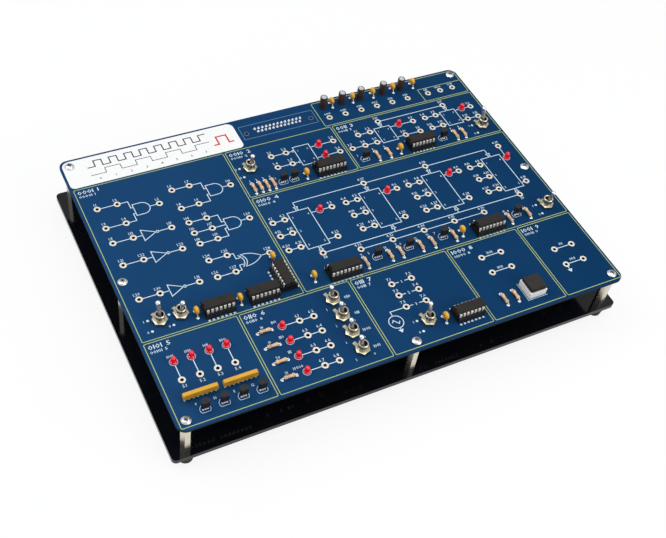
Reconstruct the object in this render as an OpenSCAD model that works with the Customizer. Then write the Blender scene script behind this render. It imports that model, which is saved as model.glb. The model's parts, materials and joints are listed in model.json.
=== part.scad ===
// Digital logic trainer: a printed circuit panel on hexagonal standoffs over a black base plate.
// Origin: middle of the base plate, at the height of the surface that the feet stand on.
// +X runs to the right along the front edge, +Y to the back, +Z up. Millimetres.
// The panel's layout is in columns from its left edge and rows from its front edge, seen from above.

/* [Base plate] */
// Width of the base plate
base_w = 297; // [290:1:340]
// Depth of the base plate
base_d = 210; // [200:1:240]
// Thickness of the base plate
base_t = 3; // [2:0.5:6]
// Corner radius of the base plate
base_corner_r = 3; // [1:0.5:8]

/* [Circuit panel] */
// Distance that the base plate stands out past each side of the panel
base_reach = 3.5; // [0:0.5:10]
// Thickness of the circuit panel
panel_t = 1.6; // [1.2:0.2:2.4]
// Corner radius of the circuit panel
panel_corner_r = 5.5; // [2:0.5:8]
// Distance of the outer screws from the panel's edges
screw_inset = 6; // [5:0.5:8]

/* [Feet and standoffs] */
// Height of a rubber foot
foot_h = 7; // [5:0.5:12]
// Diameter of a foot where it meets the base plate
foot_d = 11; // [9:0.5:16]
// Diameter of a foot where it stands
foot_tip_d = 8.6; // [7.6:0.2:12]
// Thickness of rubber that the foot's screw clamps
foot_web = 3; // [2:0.5:4]
// Length of a standoff, the clear height between base plate and panel
standoff_h = 25; // [18:1:40]
// Width of a standoff across its flats
standoff_af = 5.5; // [5:0.5:8]
// Depth of the tapped hole in each end of a standoff
tapped_depth = 9; // [7:0.5:12]

/* [Screws] */
// Diameter of the screw shanks
screw_d = 3; // [2.5:0.1:3.6]
// Diameter of the pan heads
head_d = 5.8; // [5:0.1:7]
// Height of the pan heads
head_h = 2; // [1.6:0.1:2.6]
// Length of screw that reaches into a standoff
screw_grip = 5; // [3:0.5:7]
// Width of one slot of the cross recess
recess_w = 0.8; // [0.5:0.1:1]
// Depth of the cross recess
recess_depth = 1.2; // [0.6:0.1:1.5]

/* [Terminals] */
// Outer diameter of the round terminal that takes a 2 mm plug
terminal_d = 4.3; // [3.6:0.1:5.5]
// Bore of a terminal
terminal_bore = 2; // [1.6:0.1:2.2]
// Thickness of the terminal's rim on the panel
terminal_rim = 0.3; // [0.2:0.05:0.6]
// Wall of the terminal's barrel
terminal_wall = 0.35; // [0.25:0.05:0.5]
// Length of barrel that shows below the panel
terminal_tail = 1.2; // [0.5:0.1:3]

/* [Leads] */
// Diameter of the round component leads
lead_d = 0.55; // [0.4:0.05:0.7]
// Length of lead that shows below the panel
lead_tail = 1.4; // [0.8:0.1:3]
// Pitch of the contacts of chips, sockets and resistor networks
pin_pitch = 2.54; // [2.5:0.02:2.6]

/* [Chips and sockets] */
// Distance between the two rows of contacts
row_pitch = 7.62; // [7.4:0.02:8]
// Height of a chip socket
socket_h = 3.9; // [3:0.1:6]
// Width of a chip socket
socket_w = 10.1; // [9.8:0.1:11]
// Width of one rail of a socket
socket_rail_w = 2.6; // [2.4:0.1:2.8]
// Length of a chip's body
chip_l = 19.3; // [18.6:0.1:20]
// Width of a chip's body
chip_w = 6.35; // [6:0.05:6.5]
// Thickness of a chip's body
chip_h = 3.3; // [2.8:0.1:4]
// Draft of a chip's sides and ends, from its middle to its top and bottom
chip_draft = 0.3; // [0.1:0.05:0.5]
// Thickness of a chip's legs
leg_t = 0.25; // [0.2:0.05:0.35]
// Width of the wide upper part of a leg
leg_w = 1.5; // [1.2:0.1:1.7]
// Width of the narrow tip of a leg
leg_tip_w = 0.55; // [0.4:0.05:0.8]

/* [Indicator lamps] */
// Diameter of a lamp's lens
led_d = 5; // [4.5:0.1:5.4]
// Height of a lamp from its flange to the top of its dome
led_h = 8.6; // [7:0.1:10]
// Diameter of a lamp's flange
led_flange_d = 5.8; // [5.5:0.1:6.4]
// Height of a lamp's flange
led_flange_h = 1; // [0.6:0.1:1.5]

/* [Capacitors] */
// Diameter of an electrolytic capacitor with its sleeve
can_d = 6.3; // [5:0.1:8]
// Height of an electrolytic capacitor
can_h = 11; // [9:0.5:14]
// Thickness of the printed sleeve
sleeve_t = 0.15; // [0.1:0.05:0.3]
// Distance between the leads of an electrolytic capacitor
can_lead_pitch = 2.5; // [2:0.1:3]
// Height of the body of a drop capacitor
drop_h = 5; // [4:0.1:7]
// Thickness of the body of a drop capacitor
drop_t = 2.6; // [2:0.1:3.4]
// Distance between the leads of a drop capacitor
drop_lead_pitch = 5.08; // [4.8:0.02:5.4]
// Height of a drop capacitor's body over the panel
drop_lift = 1.6; // [1:0.1:3]

/* [Resistors and transistors] */
// Length of a resistor's body
resistor_l = 6.3; // [5.5:0.1:6.8]
// Diameter of the ends of a resistor's body
resistor_d = 2.3; // [2:0.1:2.6]
// Diameter of the waist of a resistor's body
resistor_waist_d = 1.9; // [1.6:0.1:2]
// Distance between the feet of a resistor
resistor_span = 8.8; // [8.4:0.1:10]
// Diameter of a transistor's round side
transistor_d = 4.8; // [4.4:0.1:5.2]
// Depth of a transistor, from its flat to its round side
transistor_depth = 3.7; // [3.4:0.1:4]
// Height of a transistor's body
transistor_h = 4.6; // [4:0.1:5.4]
// Height of a transistor's body over the panel
transistor_lift = 2.8; // [1:0.1:5]
// Distance between neighbouring transistor leads
transistor_lead_pitch = 1.27; // [1.2:0.01:1.4]
// Number of contacts of a resistor network
network_pins_n = 8; // [5:1:8]
// Height of a resistor network's body
network_h = 4; // [3.4:0.1:6]
// Thickness of a resistor network's body
network_t = 2.2; // [1.8:0.1:2.8]
// Height of a resistor network's body over the panel
network_lift = 1.6; // [1:0.1:2.5]

/* [Toggle switches] */
// Diameter of a switch's bushing
bushing_d = 6; // [5.6:0.1:6.4]
// Bore of a bushing
bushing_bore = 4; // [3.8:0.1:4.4]
// Height of a bushing over the panel
bushing_h = 5.5; // [4.8:0.1:8]
// Height of the lever's pivot over the panel
pivot_h = 2.6; // [2.4:0.1:3]
// Distance from the pivot to the middle of the lever's round tip
lever_l = 11.2; // [9:0.1:14]
// Diameter of the lever's round tip
lever_tip_d = 3; // [2.4:0.1:3.4]
// Diameter of the lever where it leaves the pivot
lever_root_d = 1.8; // [1.6:0.1:2]
// Lean of a lever from upright at each end of its travel, in degrees
lever_lean = 12.5; // [8:0.5:13]
// Length of a switch's housing along the lever's travel
housing_l = 13; // [12:0.1:14]
// Width of a switch's housing
housing_w = 7.9; // [7.4:0.1:9]
// Height of a switch's housing, with its metal frame
housing_h = 9.4; // [8.5:0.1:11]
// Width of a nut across its flats
nut_af = 8; // [7.5:0.1:9]
// Thickness of a nut
nut_t = 2; // [1.5:0.1:2.5]
// Thickness of a locating washer
washer_t = 0.5; // [0.3:0.1:0.8]

/* [Push-button] */
// Width of the push-button's base
button_w = 12.2; // [11:0.1:14]
// Height of the push-button's base
button_base_h = 4.2; // [3.8:0.1:6]
// Thickness of the push-button's cap
cap_t = 1.8; // [1.4:0.1:3]
// Distance that the cap's sides stand in from the base's
cap_inset = 0.5; // [0.3:0.1:1]
// Travel of the push-button's cap
cap_travel = 0.7; // [0.3:0.1:0.9]
// Gap between cap and base that is left when the cap is pressed
cap_rest_gap = 0.2; // [0.1:0.05:0.5]

/* [Connector] */
// Distance of the connector's middle to the right of the panel's middle
connector_offset = 0.5; // [-5:0.5:5]
// Distance of the connector's flange from the panel's back edge
connector_setback = 7; // [6.5:0.5:9]
// Pitch of the connector's contacts
contact_pitch = 2.77; // [2.7:0.01:2.84]
// Distance between the connector's two rows of contacts
contact_row_pitch = 2.84; // [2.7:0.02:3]
// Contacts in the longer row
contact_row_n = 13; // [9:1:13]
// Distance between the connector's two hexagonal posts
post_span = 47.04; // [46.5:0.1:48]
// Length of the connector's flange
flange_l = 53; // [52:0.5:56]
// Height of the connector's flange
flange_h = 12.5; // [11.5:0.1:13.5]
// Length that the shell stands out of the flange
shell_l = 5.9; // [5:0.1:6.4]

/* [Hidden] */
$fn = 48;
fine_fn = 24;
fit = 0.05;
loose = 0.15;
// Overshoot of a cutting shape past the face that it opens
over = 1;
panel_w = base_w - 2 * base_reach;
panel_d = base_d;
terminal_barrel_d = terminal_bore + 2 * terminal_wall;
lead_hole_d = lead_d + 2 * loose;
base_z = foot_h;
base_top_z = base_z + base_t;
panel_z = base_top_z + standoff_h;
panel_top_z = panel_z + panel_t;
base_hole_d = screw_d + 2 * loose;
foot_well_d = head_d + 1.2;
head_flattening = 1;
recess_l = head_d * 0.55;

// Panel places of the standoffs: the four corners, then the middles of front, left and right edge
corner_spots = [for (x = [screw_inset, panel_w - screw_inset])
    for (y = [screw_inset, panel_d - screw_inset]) [x, y]];
edge_spots = [
    [panel_w / 2, screw_inset],
    [screw_inset, panel_d / 2],
    [panel_w - screw_inset, panel_d / 2]
];
standoff_spots = concat(corner_spots, edge_spots);

// Layout of the panel. A column or a row is 1 mm at the present size, and they spread with the panel.
layout_columns_n = 290;
layout_rows_n = 210;
function spread(places) = [for (p = places)
    [p[0] * panel_w / layout_columns_n, p[1] * panel_d / layout_rows_n, for (i = [2:1:len(p) - 1]) p[i]]];
function grid(xs, ys) = [for (x = xs) for (y = ys) [x, y]];
function row(first, step, n, y) = [for (i = [0:n - 1]) [first + i * step, y]];
supply_row = 192;
drop_row = 200.5;
can_row = 202.8;

// Terminals, circuit by circuit: gates, latch, two flip-flops, four-stage register, lamps, levels,
// clock, button, counter inputs and supply
gate_terminals = concat(
    grid([10.5, 23, 58, 69.5], [147.5, 164]), [[47, 156], [94, 156]],
    grid([10.5, 23, 47], [90, 117, 135]),
    grid([58, 69.5], [117, 126, 135]), [[94, 126]],
    grid([58, 69.5], [89.5, 103]), [[94, 96]]);
latch_terminals = grid([128.5, 139, 173.5], [160, 170.5]);
pair_terminals = concat(
    grid([192, 201, 234.5, 244, 252.5, 281], [159.5, 170]),
    [[182.5, 159.5], [223, 159.5], [272.5, 159.5], [211, 177.5], [262.5, 177.5]]);
stage_columns = [105.5, 156, 201.5, 248.5];
stage_pair_columns = 8;
register_terminals = concat(
    [for (x = stage_columns) for (dx = [0, stage_pair_columns]) for (y = [93.5, 105.5, 117]) [x + dx, y]],
    row(146, 46.8, 3, 117), row(138.5, 47.5, 3, 93.5),
    [[278, 128.5], [278, 93.5], [174.5, 128.5], [220.5, 128.5], [124, 84.5], [267, 84.5]],
    row(147, 22.25, 5, 79));
level_rows = [10.5, 21.5, 32.5, 43.5];
lamp_columns = [13.2, 23.5, 33.8, 44];
front_terminals = concat(
    grid(lamp_columns, [30.5]), grid([89, 98], level_rows), grid([151.5, 165], [30, 39, 48]),
    grid([214, 228], [34, 46.5]), grid([261.5, 274.5], [23, 36]));
supply_terminals = concat(row(181.5, 12.2, 6, supply_row), row(259, 10, 3, supply_row));
terminal_spots = spread(concat(gate_terminals, latch_terminals, pair_terminals, register_terminals,
    front_terminals, supply_terminals));

// Chips: [column, row, contacts, turn]
chips = spread([
    [49.5, 68, 14, 0], [77, 68, 14, 0], [93.2, 74.5, 14, 90],
    [159.5, 148, 16, 0], [227.5, 148, 14, 0],
    [129, 67, 16, 0], [231, 67, 16, 0], [183, 13, 14, 0]
]);
led_spots = spread(concat(
    [[162.3, 159.5], [162.3, 170], [223, 170], [273.5, 170]],
    [[137.5, 117], [185.5, 117], [232, 117], [277.5, 117]],
    grid(lamp_columns, [43]), grid([78], level_rows)));
can_spots = spread(grid([181.5, 195.5, 210, 227.5, 242], [can_row]));
// Front foot of each drop capacitor
drop_spots = spread(concat(
    row(188, 15.9, 5, drop_row),
    [[36.5, 66], [63, 66], [93.2, 88], [110, 66], [212.5, 66], [142.5, 144.5], [211.5, 144.5], [168, 11]]));
// Front or left foot of each resistor: [column, row, turn]
resistor_spots = spread(concat(
    [for (x = [106.5, 111, 115.5, 120, 195, 203.5, 255.5, 261.8]) [x, 143.5, 90]],
    [for (x = [145, 161.5, 169, 183, 191.5, 207, 248.5, 262.5]) [x, 64, 90]],
    [for (y = level_rows) [63, y, 0]],
    [for (x = [209.5, 217.5]) [x, 9, 90]]));
transistor_spots = spread(concat(
    [[126.5, 147], [134, 147], [186, 148], [245.5, 148]],
    grid([153.5, 175.5, 200, 255], [70]),
    row(18, 10.9, 4, 9)));
network_spots = spread([[18.7, 18], [41.7, 18]]);
// Toggle switches: [column, row, turn of the lean from +Y, turn of the nut]
switches = spread([
    [16, 71.5, 0, 40], [28.5, 71.5, 180, 38], [111, 164.5, 180, 44], [278, 150, 0, 35],
    [278, 70, 180, 41], [113, 49.5, 90, 8], [113, 37, 90, 12], [113, 24.5, 90, 5],
    [113, 12, 90, 16], [158.5, 16, 0, 36]
]);
button_spots = spread([[230, 14.2]]);

// Chips and sockets
chip_gap = 0.4;
chip_z = socket_h + chip_gap;
chip_mid_z = chip_z + chip_h / 2;
leg_reach = 2.4;
notch_d = 1.8;
notch_depth = chip_h / 2 - 0.4;
dimple_d = 1;
dimple_depth = 0.12;
dimple_inset = 1.5;
slot_l = leg_w + 0.2;
slot_w = 0.8;
socket_floor = 0.8;
bar_w = 2;
bar_drop = 1.2;
leg_neck = 0.4;
leg_tip_l = 2.4;
socket_pin_d = 0.5;

// Lamps
led_flat_gap = 0.05;

// Capacitors
can_lift = 0.3;
sleeve_gap = 0.01;
seal_d = can_d - 2 * sleeve_t - 1;
seal_h = 1.2;
bead_z = 2;
bead_depth = 0.3;
vent_w = 0.25;
vent_depth = 0.15;
lip_w = 0.45;
lip_bevel = 0.25;
drop_kink_z = 0.6;
bend_swell = 0.06;

// Resistors and networks
resistor_z = resistor_d / 2 + 0.1;
bulb_l = resistor_l * 0.26;
bulb_round = 0.3;
network_l = network_pins_n * pin_pitch - 0.3;
network_corner_r = 0.9;

// Switches, measured from the top of the panel
frame_t = 0.6;
spigot_d = 5;
spigot_l = 1.2;
housing_wall = 1.1;
housing_top = -panel_t - frame_t;
housing_bottom = -panel_t - housing_h;
cavity_depth = 6;
pivot_ball_d = bushing_bore - 2 * fit;
pivot_pin_d = 0.8;
pivot_pin_l = bushing_d - 0.3;
tail_d = 1.2;
tail_l = pivot_h + panel_t + spigot_l + 1.6;
bore_mouth = 0.6;
nut_chamfer = 0.5;
tip_taper = 0.85;
tab_l = 6.8;
tab_w = 2.2;
tab_turn = 20;
lug_w = 2;
lug_t = 0.8;
lug_l = 4;
lug_pitch = 4.7;
lug_hole_d = 1;
lug_hole_z = 1.2;
strap_w = 3.6;
strap_rise = 1.5;

// Push-button, measured from the top of the panel
cap_z = button_base_h + cap_rest_gap + cap_travel;
cap_w = button_w - 2 * cap_inset;
cap_edge = 0.4;
cap_corner_r = 0.8;
button_corner_r = 0.6;
stem_top = 0.5;
stem_roof = 0.6;
stem_r = 3;
stem_bore_r = 2.3;
stem_flange_r = 3.5;
stem_flange_h = 1;
well_floor = 0.5;
neck_z = 2.9;
spring_r = 1.75;
wire_r = 0.16;
spring_turns = 5;
ring_n = 12;
wire_sides = 6;
button_pin_x = 5;
button_pin_y = 3.25;

// Connector, measured from the underside of the panel at its back edge
connector_x = panel_w / 2 + connector_offset;
connector_y = panel_d - connector_setback;
flange_t = 0.8;
flange_corner_r = 1.2;
axis_drop = flange_h / 2 + 0.1;
shell_wall = 0.5;
shell_w = 38.4;
shell_h = 7.9;
shell_r = 2.4;
shell_slope = tan(10);
insulator_l = 2.4;
insulator_margin = 0.8;
insulator_inset = 0.2;
tail_row_back = 4.8;
tail_rise = 0.8;
contact_d = 0.7;
contact_hole_d = 1.1;
contact_hole_l = 4.2;
post_af = 4.75;
post_l = 5;
post_bore_d = 2.5;
post_bore_l = 4;
post_grip = 2;
bracket_t = 0.8;
bracket_w = 5.8;
bracket_drop = 4;
bracket_back = 13;
rivet_back = 7.5;
rivet_d = 3;
rivet_head_d = 4.6;
rivet_head_h = 0.6;

// Helpers
function turned(p, a) = [p[0] * cos(a) - p[1] * sin(a), p[0] * sin(a) + p[1] * cos(a)];
function hex_d(af) = af / cos(30);

// Children at each panel place, with z = 0 on the height given
module at_panel(spots, z = panel_top_z) {
    for (p = spots)
        translate([p[0] - panel_w / 2, p[1] - panel_d / 2, z])
            children();
}

module rounded_rect(w, d, r) {
    square([w - 2 * r, d], center = true);
    square([w, d - 2 * r], center = true);
    for (x = [-1, 1], y = [-1, 1])
        translate([x * (w / 2 - r), y * (d / 2 - r)])
            circle(r);
}

// A round rod between two heights
module rod(d, z0, z1) {
    translate([0, 0, z0])
        cylinder(d = d, h = z1 - z0);
}

// Lead from a body at height z0 down through the panel
module lead_down(z0, d = lead_d) {
    rod(d, -panel_t - lead_tail, z0);
}

// Pan-head screw that hangs from z = 0, its head above
module pan_screw(l) {
    crown_r = (pow(head_d / 2, 2) + pow(head_h, 2)) / (2 * head_h) + head_flattening;
    difference() {
        union() {
            rod(screw_d - 2 * fit, -l, 0);
            intersection() {
                rod(head_d, 0, head_h);
                translate([0, 0, head_h - crown_r])
                    sphere(crown_r);
            }
        }
        for (a = [0, 90])
            rotate(a)
                translate([-recess_l / 2, -recess_w / 2, head_h - recess_depth])
                    cube([recess_l, recess_w, recess_depth + over]);
    }
}

// Places where leads pass through the panel
function chip_pin_spots(c) = [for (side = [-1, 1]) for (i = [0:c[2] / 2 - 1])
    [c[0], c[1]] + turned([(i - (c[2] / 2 - 1) / 2) * pin_pitch, side * row_pitch / 2], c[3])];
function pair_spots(p, d) = [p, p + d];
socket_pin_spots = [for (c = chips) each chip_pin_spots(c)];
led_lead_spots = [for (p = led_spots) for (s = [-1, 1]) p + [s * pin_pitch / 2, 0]];
can_lead_spots = [for (p = can_spots) for (s = [-1, 1]) p + [s * can_lead_pitch / 2, 0]];
drop_lead_spots = [for (p = drop_spots) each pair_spots(p, [0, drop_lead_pitch])];
resistor_lead_spots = [for (r = resistor_spots)
    each pair_spots([r[0], r[1]], turned([resistor_span, 0], r[2]))];
transistor_lead_spots = [for (p = transistor_spots) for (i = [-1:1]) p + [i * transistor_lead_pitch, 0]];
network_pin_spots = [for (p = network_spots) for (i = [0:network_pins_n - 1])
    p + [(i - (network_pins_n - 1) / 2) * pin_pitch, 0]];
button_pin_spots = [for (p = button_spots) for (x = [-1, 1]) for (y = [-1, 1])
    p + [x * button_pin_x, y * button_pin_y]];
function contact_row(n) = [for (i = [0:n - 1]) (i - (n - 1) / 2) * contact_pitch];
long_tails = [for (x = contact_row(contact_row_n)) [connector_x + x, connector_y - tail_row_back]];
short_tails = [for (x = contact_row(contact_row_n - 1))
    [connector_x + x, connector_y - tail_row_back - contact_row_pitch]];
rivet_spots = [for (s = [-1, 1]) [connector_x + s * post_span / 2, connector_y - rivet_back]];

// Base

module base_plate() {
    color("#16171a")
        difference() {
            translate([0, 0, base_z])
                linear_extrude(base_t)
                    rounded_rect(base_w, base_d, base_corner_r);
            at_panel(standoff_spots, base_z - over)
                cylinder(d = base_hole_d, h = base_t + 2 * over);
        }
}

// The screw's head lies in the open lower end of the foot
module feet() {
    color("#1b1b1c")
        at_panel(corner_spots, 0)
            difference() {
                cylinder(d1 = foot_tip_d, d2 = foot_d, h = foot_h);
                rod(base_hole_d, -over, foot_h + over);
                rod(foot_well_d, -over, foot_h - foot_web);
            }
}

module base_screws() {
    color("#c9c9c6") {
        at_panel(corner_spots, foot_h - foot_web)
            mirror([0, 0, 1])
                pan_screw(foot_web + base_t + screw_grip);
        at_panel(edge_spots, base_z)
            mirror([0, 0, 1])
                pan_screw(base_t + screw_grip);
    }
}

module standoffs() {
    color("#cfcabb")
        at_panel(standoff_spots, base_top_z)
            difference() {
                cylinder(d = hex_d(standoff_af), h = standoff_h, $fn = 6);
                rod(screw_d + 2 * fit, -over, tapped_depth);
                rod(screw_d + 2 * fit, standoff_h - tapped_depth, standoff_h + over);
            }
}

// Panel

module panel_holes(spots, d) {
    at_panel(spots, panel_z - over)
        cylinder(d = d, h = panel_t + 2 * over);
}

module circuit_panel() {
    color("#164a86")
        difference() {
            translate([0, 0, panel_z])
                linear_extrude(panel_t)
                    rounded_rect(panel_w, panel_d, panel_corner_r);
            panel_holes(terminal_spots, terminal_barrel_d + 2 * fit);
            panel_holes(standoff_spots, base_hole_d);
            panel_holes(switches, bushing_d + 2 * loose);
            panel_holes(rivet_spots, rivet_d + 2 * fit);
            panel_holes(concat(socket_pin_spots, led_lead_spots, can_lead_spots), lead_hole_d);
            panel_holes(concat(drop_lead_spots, resistor_lead_spots, transistor_lead_spots), lead_hole_d);
            panel_holes(network_pin_spots, lead_hole_d);
            panel_holes(concat(long_tails, short_tails, button_pin_spots), contact_d + 2 * loose);
        }
}

module panel_screws() {
    color("#d8d8d6")
        at_panel(standoff_spots)
            pan_screw(panel_t + screw_grip);
}

// A flanged tube: its rim lies on the panel and its barrel goes through
module terminals() {
    r0 = terminal_bore / 2;
    r1 = terminal_barrel_d / 2;
    r2 = terminal_d / 2;
    mouth = min(terminal_wall / 2, terminal_rim / 2);
    color("#e9e6da")
        at_panel(terminal_spots)
            rotate_extrude()
                polygon([[r0, -panel_t - terminal_tail], [r1, -panel_t - terminal_tail], [r1, 0], [r2, 0],
                    [r2, terminal_rim - mouth], [r2 - mouth, terminal_rim],
                    [r0 + mouth, terminal_rim], [r0, terminal_rim - mouth]]);
}

// Chips

module socket_slots(n) {
    for (side = [-1, 1])
        for (i = [0:n / 2 - 1]) {
            x = (i - (n / 2 - 1) / 2) * pin_pitch;
            translate([x - slot_l / 2, side * row_pitch / 2 - slot_w / 2, socket_floor])
                cube([slot_l, slot_w, socket_h]);
        }
}

// A frame of two rails and three cross bars, with a slot for each leg
module chip_socket(n) {
    l = (n / 2) * pin_pitch;
    rail_y = (socket_w - socket_rail_w) / 2;
    difference() {
        union() {
            for (s = [-1, 1])
                translate([0, s * rail_y, socket_h / 2])
                    cube([l, socket_rail_w, socket_h], center = true);
            for (s = [-1, 0, 1])
                translate([s * (l - bar_w) / 2, 0, (socket_h - bar_drop) / 2])
                    cube([bar_w, socket_w - socket_rail_w, socket_h - bar_drop], center = true);
        }
        socket_slots(n);
    }
}

module chip_sockets() {
    color("#1f1f20")
        for (c = chips)
            at_panel([c])
                rotate(c[3])
                    chip_socket(c[2]);
}

module socket_pins() {
    color("#c8c6bd")
        at_panel(socket_pin_spots)
            lead_down(0, socket_pin_d);
}

// Moulded body with drafted sides and ends, a half-round notch and a dimple at the first contact
module chip_body() {
    side = [[-chip_w / 2 + chip_draft, 0], [chip_w / 2 - chip_draft, 0], [chip_w / 2, chip_h / 2],
        [chip_w / 2 - chip_draft, chip_h], [-chip_w / 2 + chip_draft, chip_h], [-chip_w / 2, chip_h / 2]];
    end = [[-chip_l / 2 + chip_draft, 0], [chip_l / 2 - chip_draft, 0], [chip_l / 2, chip_h / 2],
        [chip_l / 2 - chip_draft, chip_h], [-chip_l / 2 + chip_draft, chip_h], [-chip_l / 2, chip_h / 2]];
    difference() {
        intersection() {
            rotate([90, 0, 90])
                linear_extrude(chip_l + over, center = true)
                    polygon(side);
            rotate([90, 0, 0])
                linear_extrude(chip_w + over, center = true)
                    polygon(end);
        }
        translate([-chip_l / 2, 0, chip_h - notch_depth])
            cylinder(d = notch_d, h = notch_depth + over);
        translate([-chip_l / 2 + dimple_inset, -chip_w / 2 + dimple_inset, chip_h - dimple_depth])
            cylinder(d = dimple_d, h = dimple_depth + over);
    }
}

module logic_chips() {
    color("#2b2b2c")
        for (c = chips)
            at_panel([c], panel_top_z + chip_z)
                rotate(c[3])
                    chip_body();
}

// Leg: out of the body's side, down beside it, and narrow where it enters the socket
module chip_leg() {
    out = row_pitch / 2 - chip_w / 2;
    bottom = chip_mid_z - leg_t / 2 - leg_reach;
    translate([0, chip_w / 2, chip_mid_z - leg_t / 2])
        translate([-leg_w / 2, 0, 0])
            cube([leg_w, out + leg_t / 2, leg_t]);
    translate([-leg_w / 2, row_pitch / 2 - leg_t / 2, bottom + leg_neck])
        cube([leg_w, leg_t, leg_reach - leg_neck]);
    translate([-leg_tip_w / 2, row_pitch / 2 - leg_t / 2, bottom + leg_neck - leg_tip_l])
        cube([leg_tip_w, leg_t, leg_tip_l]);
}

module chip_legs() {
    color("#d9d7d0")
        for (c = chips)
            at_panel([c])
                rotate(c[3])
                    for (s = [0, 180])
                        rotate(s)
                            for (i = [0:c[2] / 2 - 1])
                                translate([(i - (c[2] / 2 - 1) / 2) * pin_pitch, 0, 0])
                                    chip_leg();
}

// Indicator lamps

module lamp_lenses() {
    color("#e0202c")
        at_panel(led_spots)
            difference() {
                union() {
                    rod(led_flange_d, 0, led_flange_h);
                    rod(led_d, 0, led_h - led_d / 2);
                    translate([0, 0, led_h - led_d / 2])
                        sphere(d = led_d);
                }
                translate([led_d / 2 + led_flat_gap, -led_flange_d / 2, -over])
                    cube([led_flange_d, led_flange_d, led_flange_h + over]);
            }
}

module lamp_leads() {
    color("#cfcdc6")
        at_panel(led_lead_spots)
            lead_down(0);
}

// Capacitors

module capacitor_can() {
    r = can_d / 2 - sleeve_t - sleeve_gap;
    difference() {
        rod(2 * r, 0, can_h - sleeve_t);
        rotate_extrude()
            translate([r, bead_z])
                circle(bead_depth, $fn = fine_fn);
        rod(seal_d + 2 * fit, -over, seal_h);
        for (a = [0, 120, 240])
            rotate(a)
                translate([0, -vent_w / 2, can_h - sleeve_t - vent_depth])
                    cube([r - lip_w, vent_w, vent_depth + over]);
    }
}

module capacitor_cans() {
    color("#d5d6d6")
        at_panel(can_spots)
            translate([0, 0, can_lift])
                capacitor_can();
}

// Shrunk sleeve: a tube whose top turns in over the can's edge
module capacitor_sleeves() {
    r = can_d / 2;
    top = can_h;
    color("#2e241e")
        at_panel(can_spots)
            translate([0, 0, can_lift])
                rotate_extrude()
                    polygon([[r - sleeve_t, 0], [r, 0], [r, top - lip_bevel], [r - lip_bevel, top],
                        [r - lip_w - sleeve_t, top], [r - lip_w - sleeve_t, top - sleeve_t],
                        [r - sleeve_t, top - sleeve_t]]);
}

module capacitor_seals() {
    color("#191919")
        at_panel(can_spots)
            translate([0, 0, can_lift])
                difference() {
                    rod(seal_d, 0, seal_h);
                    for (s = [-1, 1])
                        translate([s * can_lead_pitch / 2, 0, 0])
                            rod(lead_d + 2 * fit, -over, seal_h + over);
                }
}

module capacitor_leads() {
    color("#cfcdc6")
        at_panel(can_lead_spots)
            lead_down(can_lift + seal_h);
}

// Stretch of a drop capacitor's lead that leans in from above its foot to the body
module drop_lead_lean(grow = 0) {
    inward = drop_lead_pitch / 2 - drop_h / 4;
    rise = drop_lift + drop_h / 4 - drop_kink_z;
    translate([0, 0, drop_kink_z])
        rotate([-atan2(inward, rise), 0, 0])
            cylinder(d = lead_d + 2 * grow, h = norm([inward, rise]));
}

module at_drop_leads() {
    translate([0, drop_lead_pitch / 2, 0])
        for (a = [0, 180])
            rotate(a)
                translate([0, -drop_lead_pitch / 2, 0])
                    children();
}

// A dipped body: a round disc with a full round rim
module drop_capacitor() {
    rim = drop_t / 2;
    disc = drop_h / 2;
    difference() {
        translate([0, drop_lead_pitch / 2, drop_lift + disc])
            rotate([0, 90, 0])
                rotate_extrude() {
                    translate([0, -rim])
                        square([disc - rim, drop_t]);
                    intersection() {
                        translate([disc - rim, 0])
                            circle(rim);
                        translate([disc - rim, -rim])
                            square([rim, drop_t]);
                    }
                }
        at_drop_leads()
            drop_lead_lean(fit);
    }
}

module drop_capacitors() {
    color("#e3a92c")
        at_panel(drop_spots)
            drop_capacitor();
}

module drop_capacitor_leads() {
    color("#cfcdc6")
        at_panel(drop_spots)
            at_drop_leads() {
                lead_down(drop_kink_z);
                translate([0, 0, drop_kink_z])
                    sphere(d = lead_d + bend_swell, $fn = fine_fn);
                drop_lead_lean();
            }
}

// Resistors

module resistor_body() {
    r = resistor_d / 2;
    w = resistor_waist_d / 2;
    rotate_extrude() {
        translate([0, -(resistor_l - bulb_l) / 2])
            square([w, resistor_l - bulb_l]);
        for (s = [-1, 1])
            translate([0, s * (resistor_l - bulb_l) / 2]) {
                translate([0, -bulb_l / 2 + bulb_round])
                    square([r, bulb_l - 2 * bulb_round]);
                translate([0, -bulb_l / 2])
                    square([r - bulb_round, bulb_l]);
                for (t = [-1, 1])
                    translate([r - bulb_round, t * (bulb_l / 2 - bulb_round)])
                        circle(bulb_round, $fn = fine_fn);
            }
    }
}

module resistors() {
    color("#d9b98c")
        for (r = resistor_spots)
            at_panel([r])
                rotate(r[2])
                    translate([resistor_span / 2, 0, resistor_z])
                        rotate([0, 90, 0])
                            resistor_body();
}

module resistor_lead() {
    lead_down(resistor_z);
    translate([0, 0, resistor_z]) {
        sphere(d = lead_d, $fn = fine_fn);
        rotate([0, 90, 0])
            cylinder(d = lead_d, h = (resistor_span - resistor_l) / 2);
    }
}

module resistor_leads() {
    color("#cfcdc6")
        for (r = resistor_spots)
            at_panel([r])
                rotate(r[2]) {
                    resistor_lead();
                    translate([resistor_span, 0, 0])
                        rotate(180)
                            resistor_lead();
                }
}

// Transistors

module transistors() {
    color("#242425")
        at_panel(transistor_spots)
            translate([0, 0, transistor_lift])
                linear_extrude(transistor_h)
                    intersection() {
                        circle(d = transistor_d);
                        translate([-transistor_d / 2, transistor_d / 2 - transistor_depth])
                            square([transistor_d, transistor_d]);
                    }
}

module transistor_leads() {
    color("#cfcdc6")
        at_panel(transistor_lead_spots)
            lead_down(transistor_lift);
}

// Resistor networks

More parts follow.
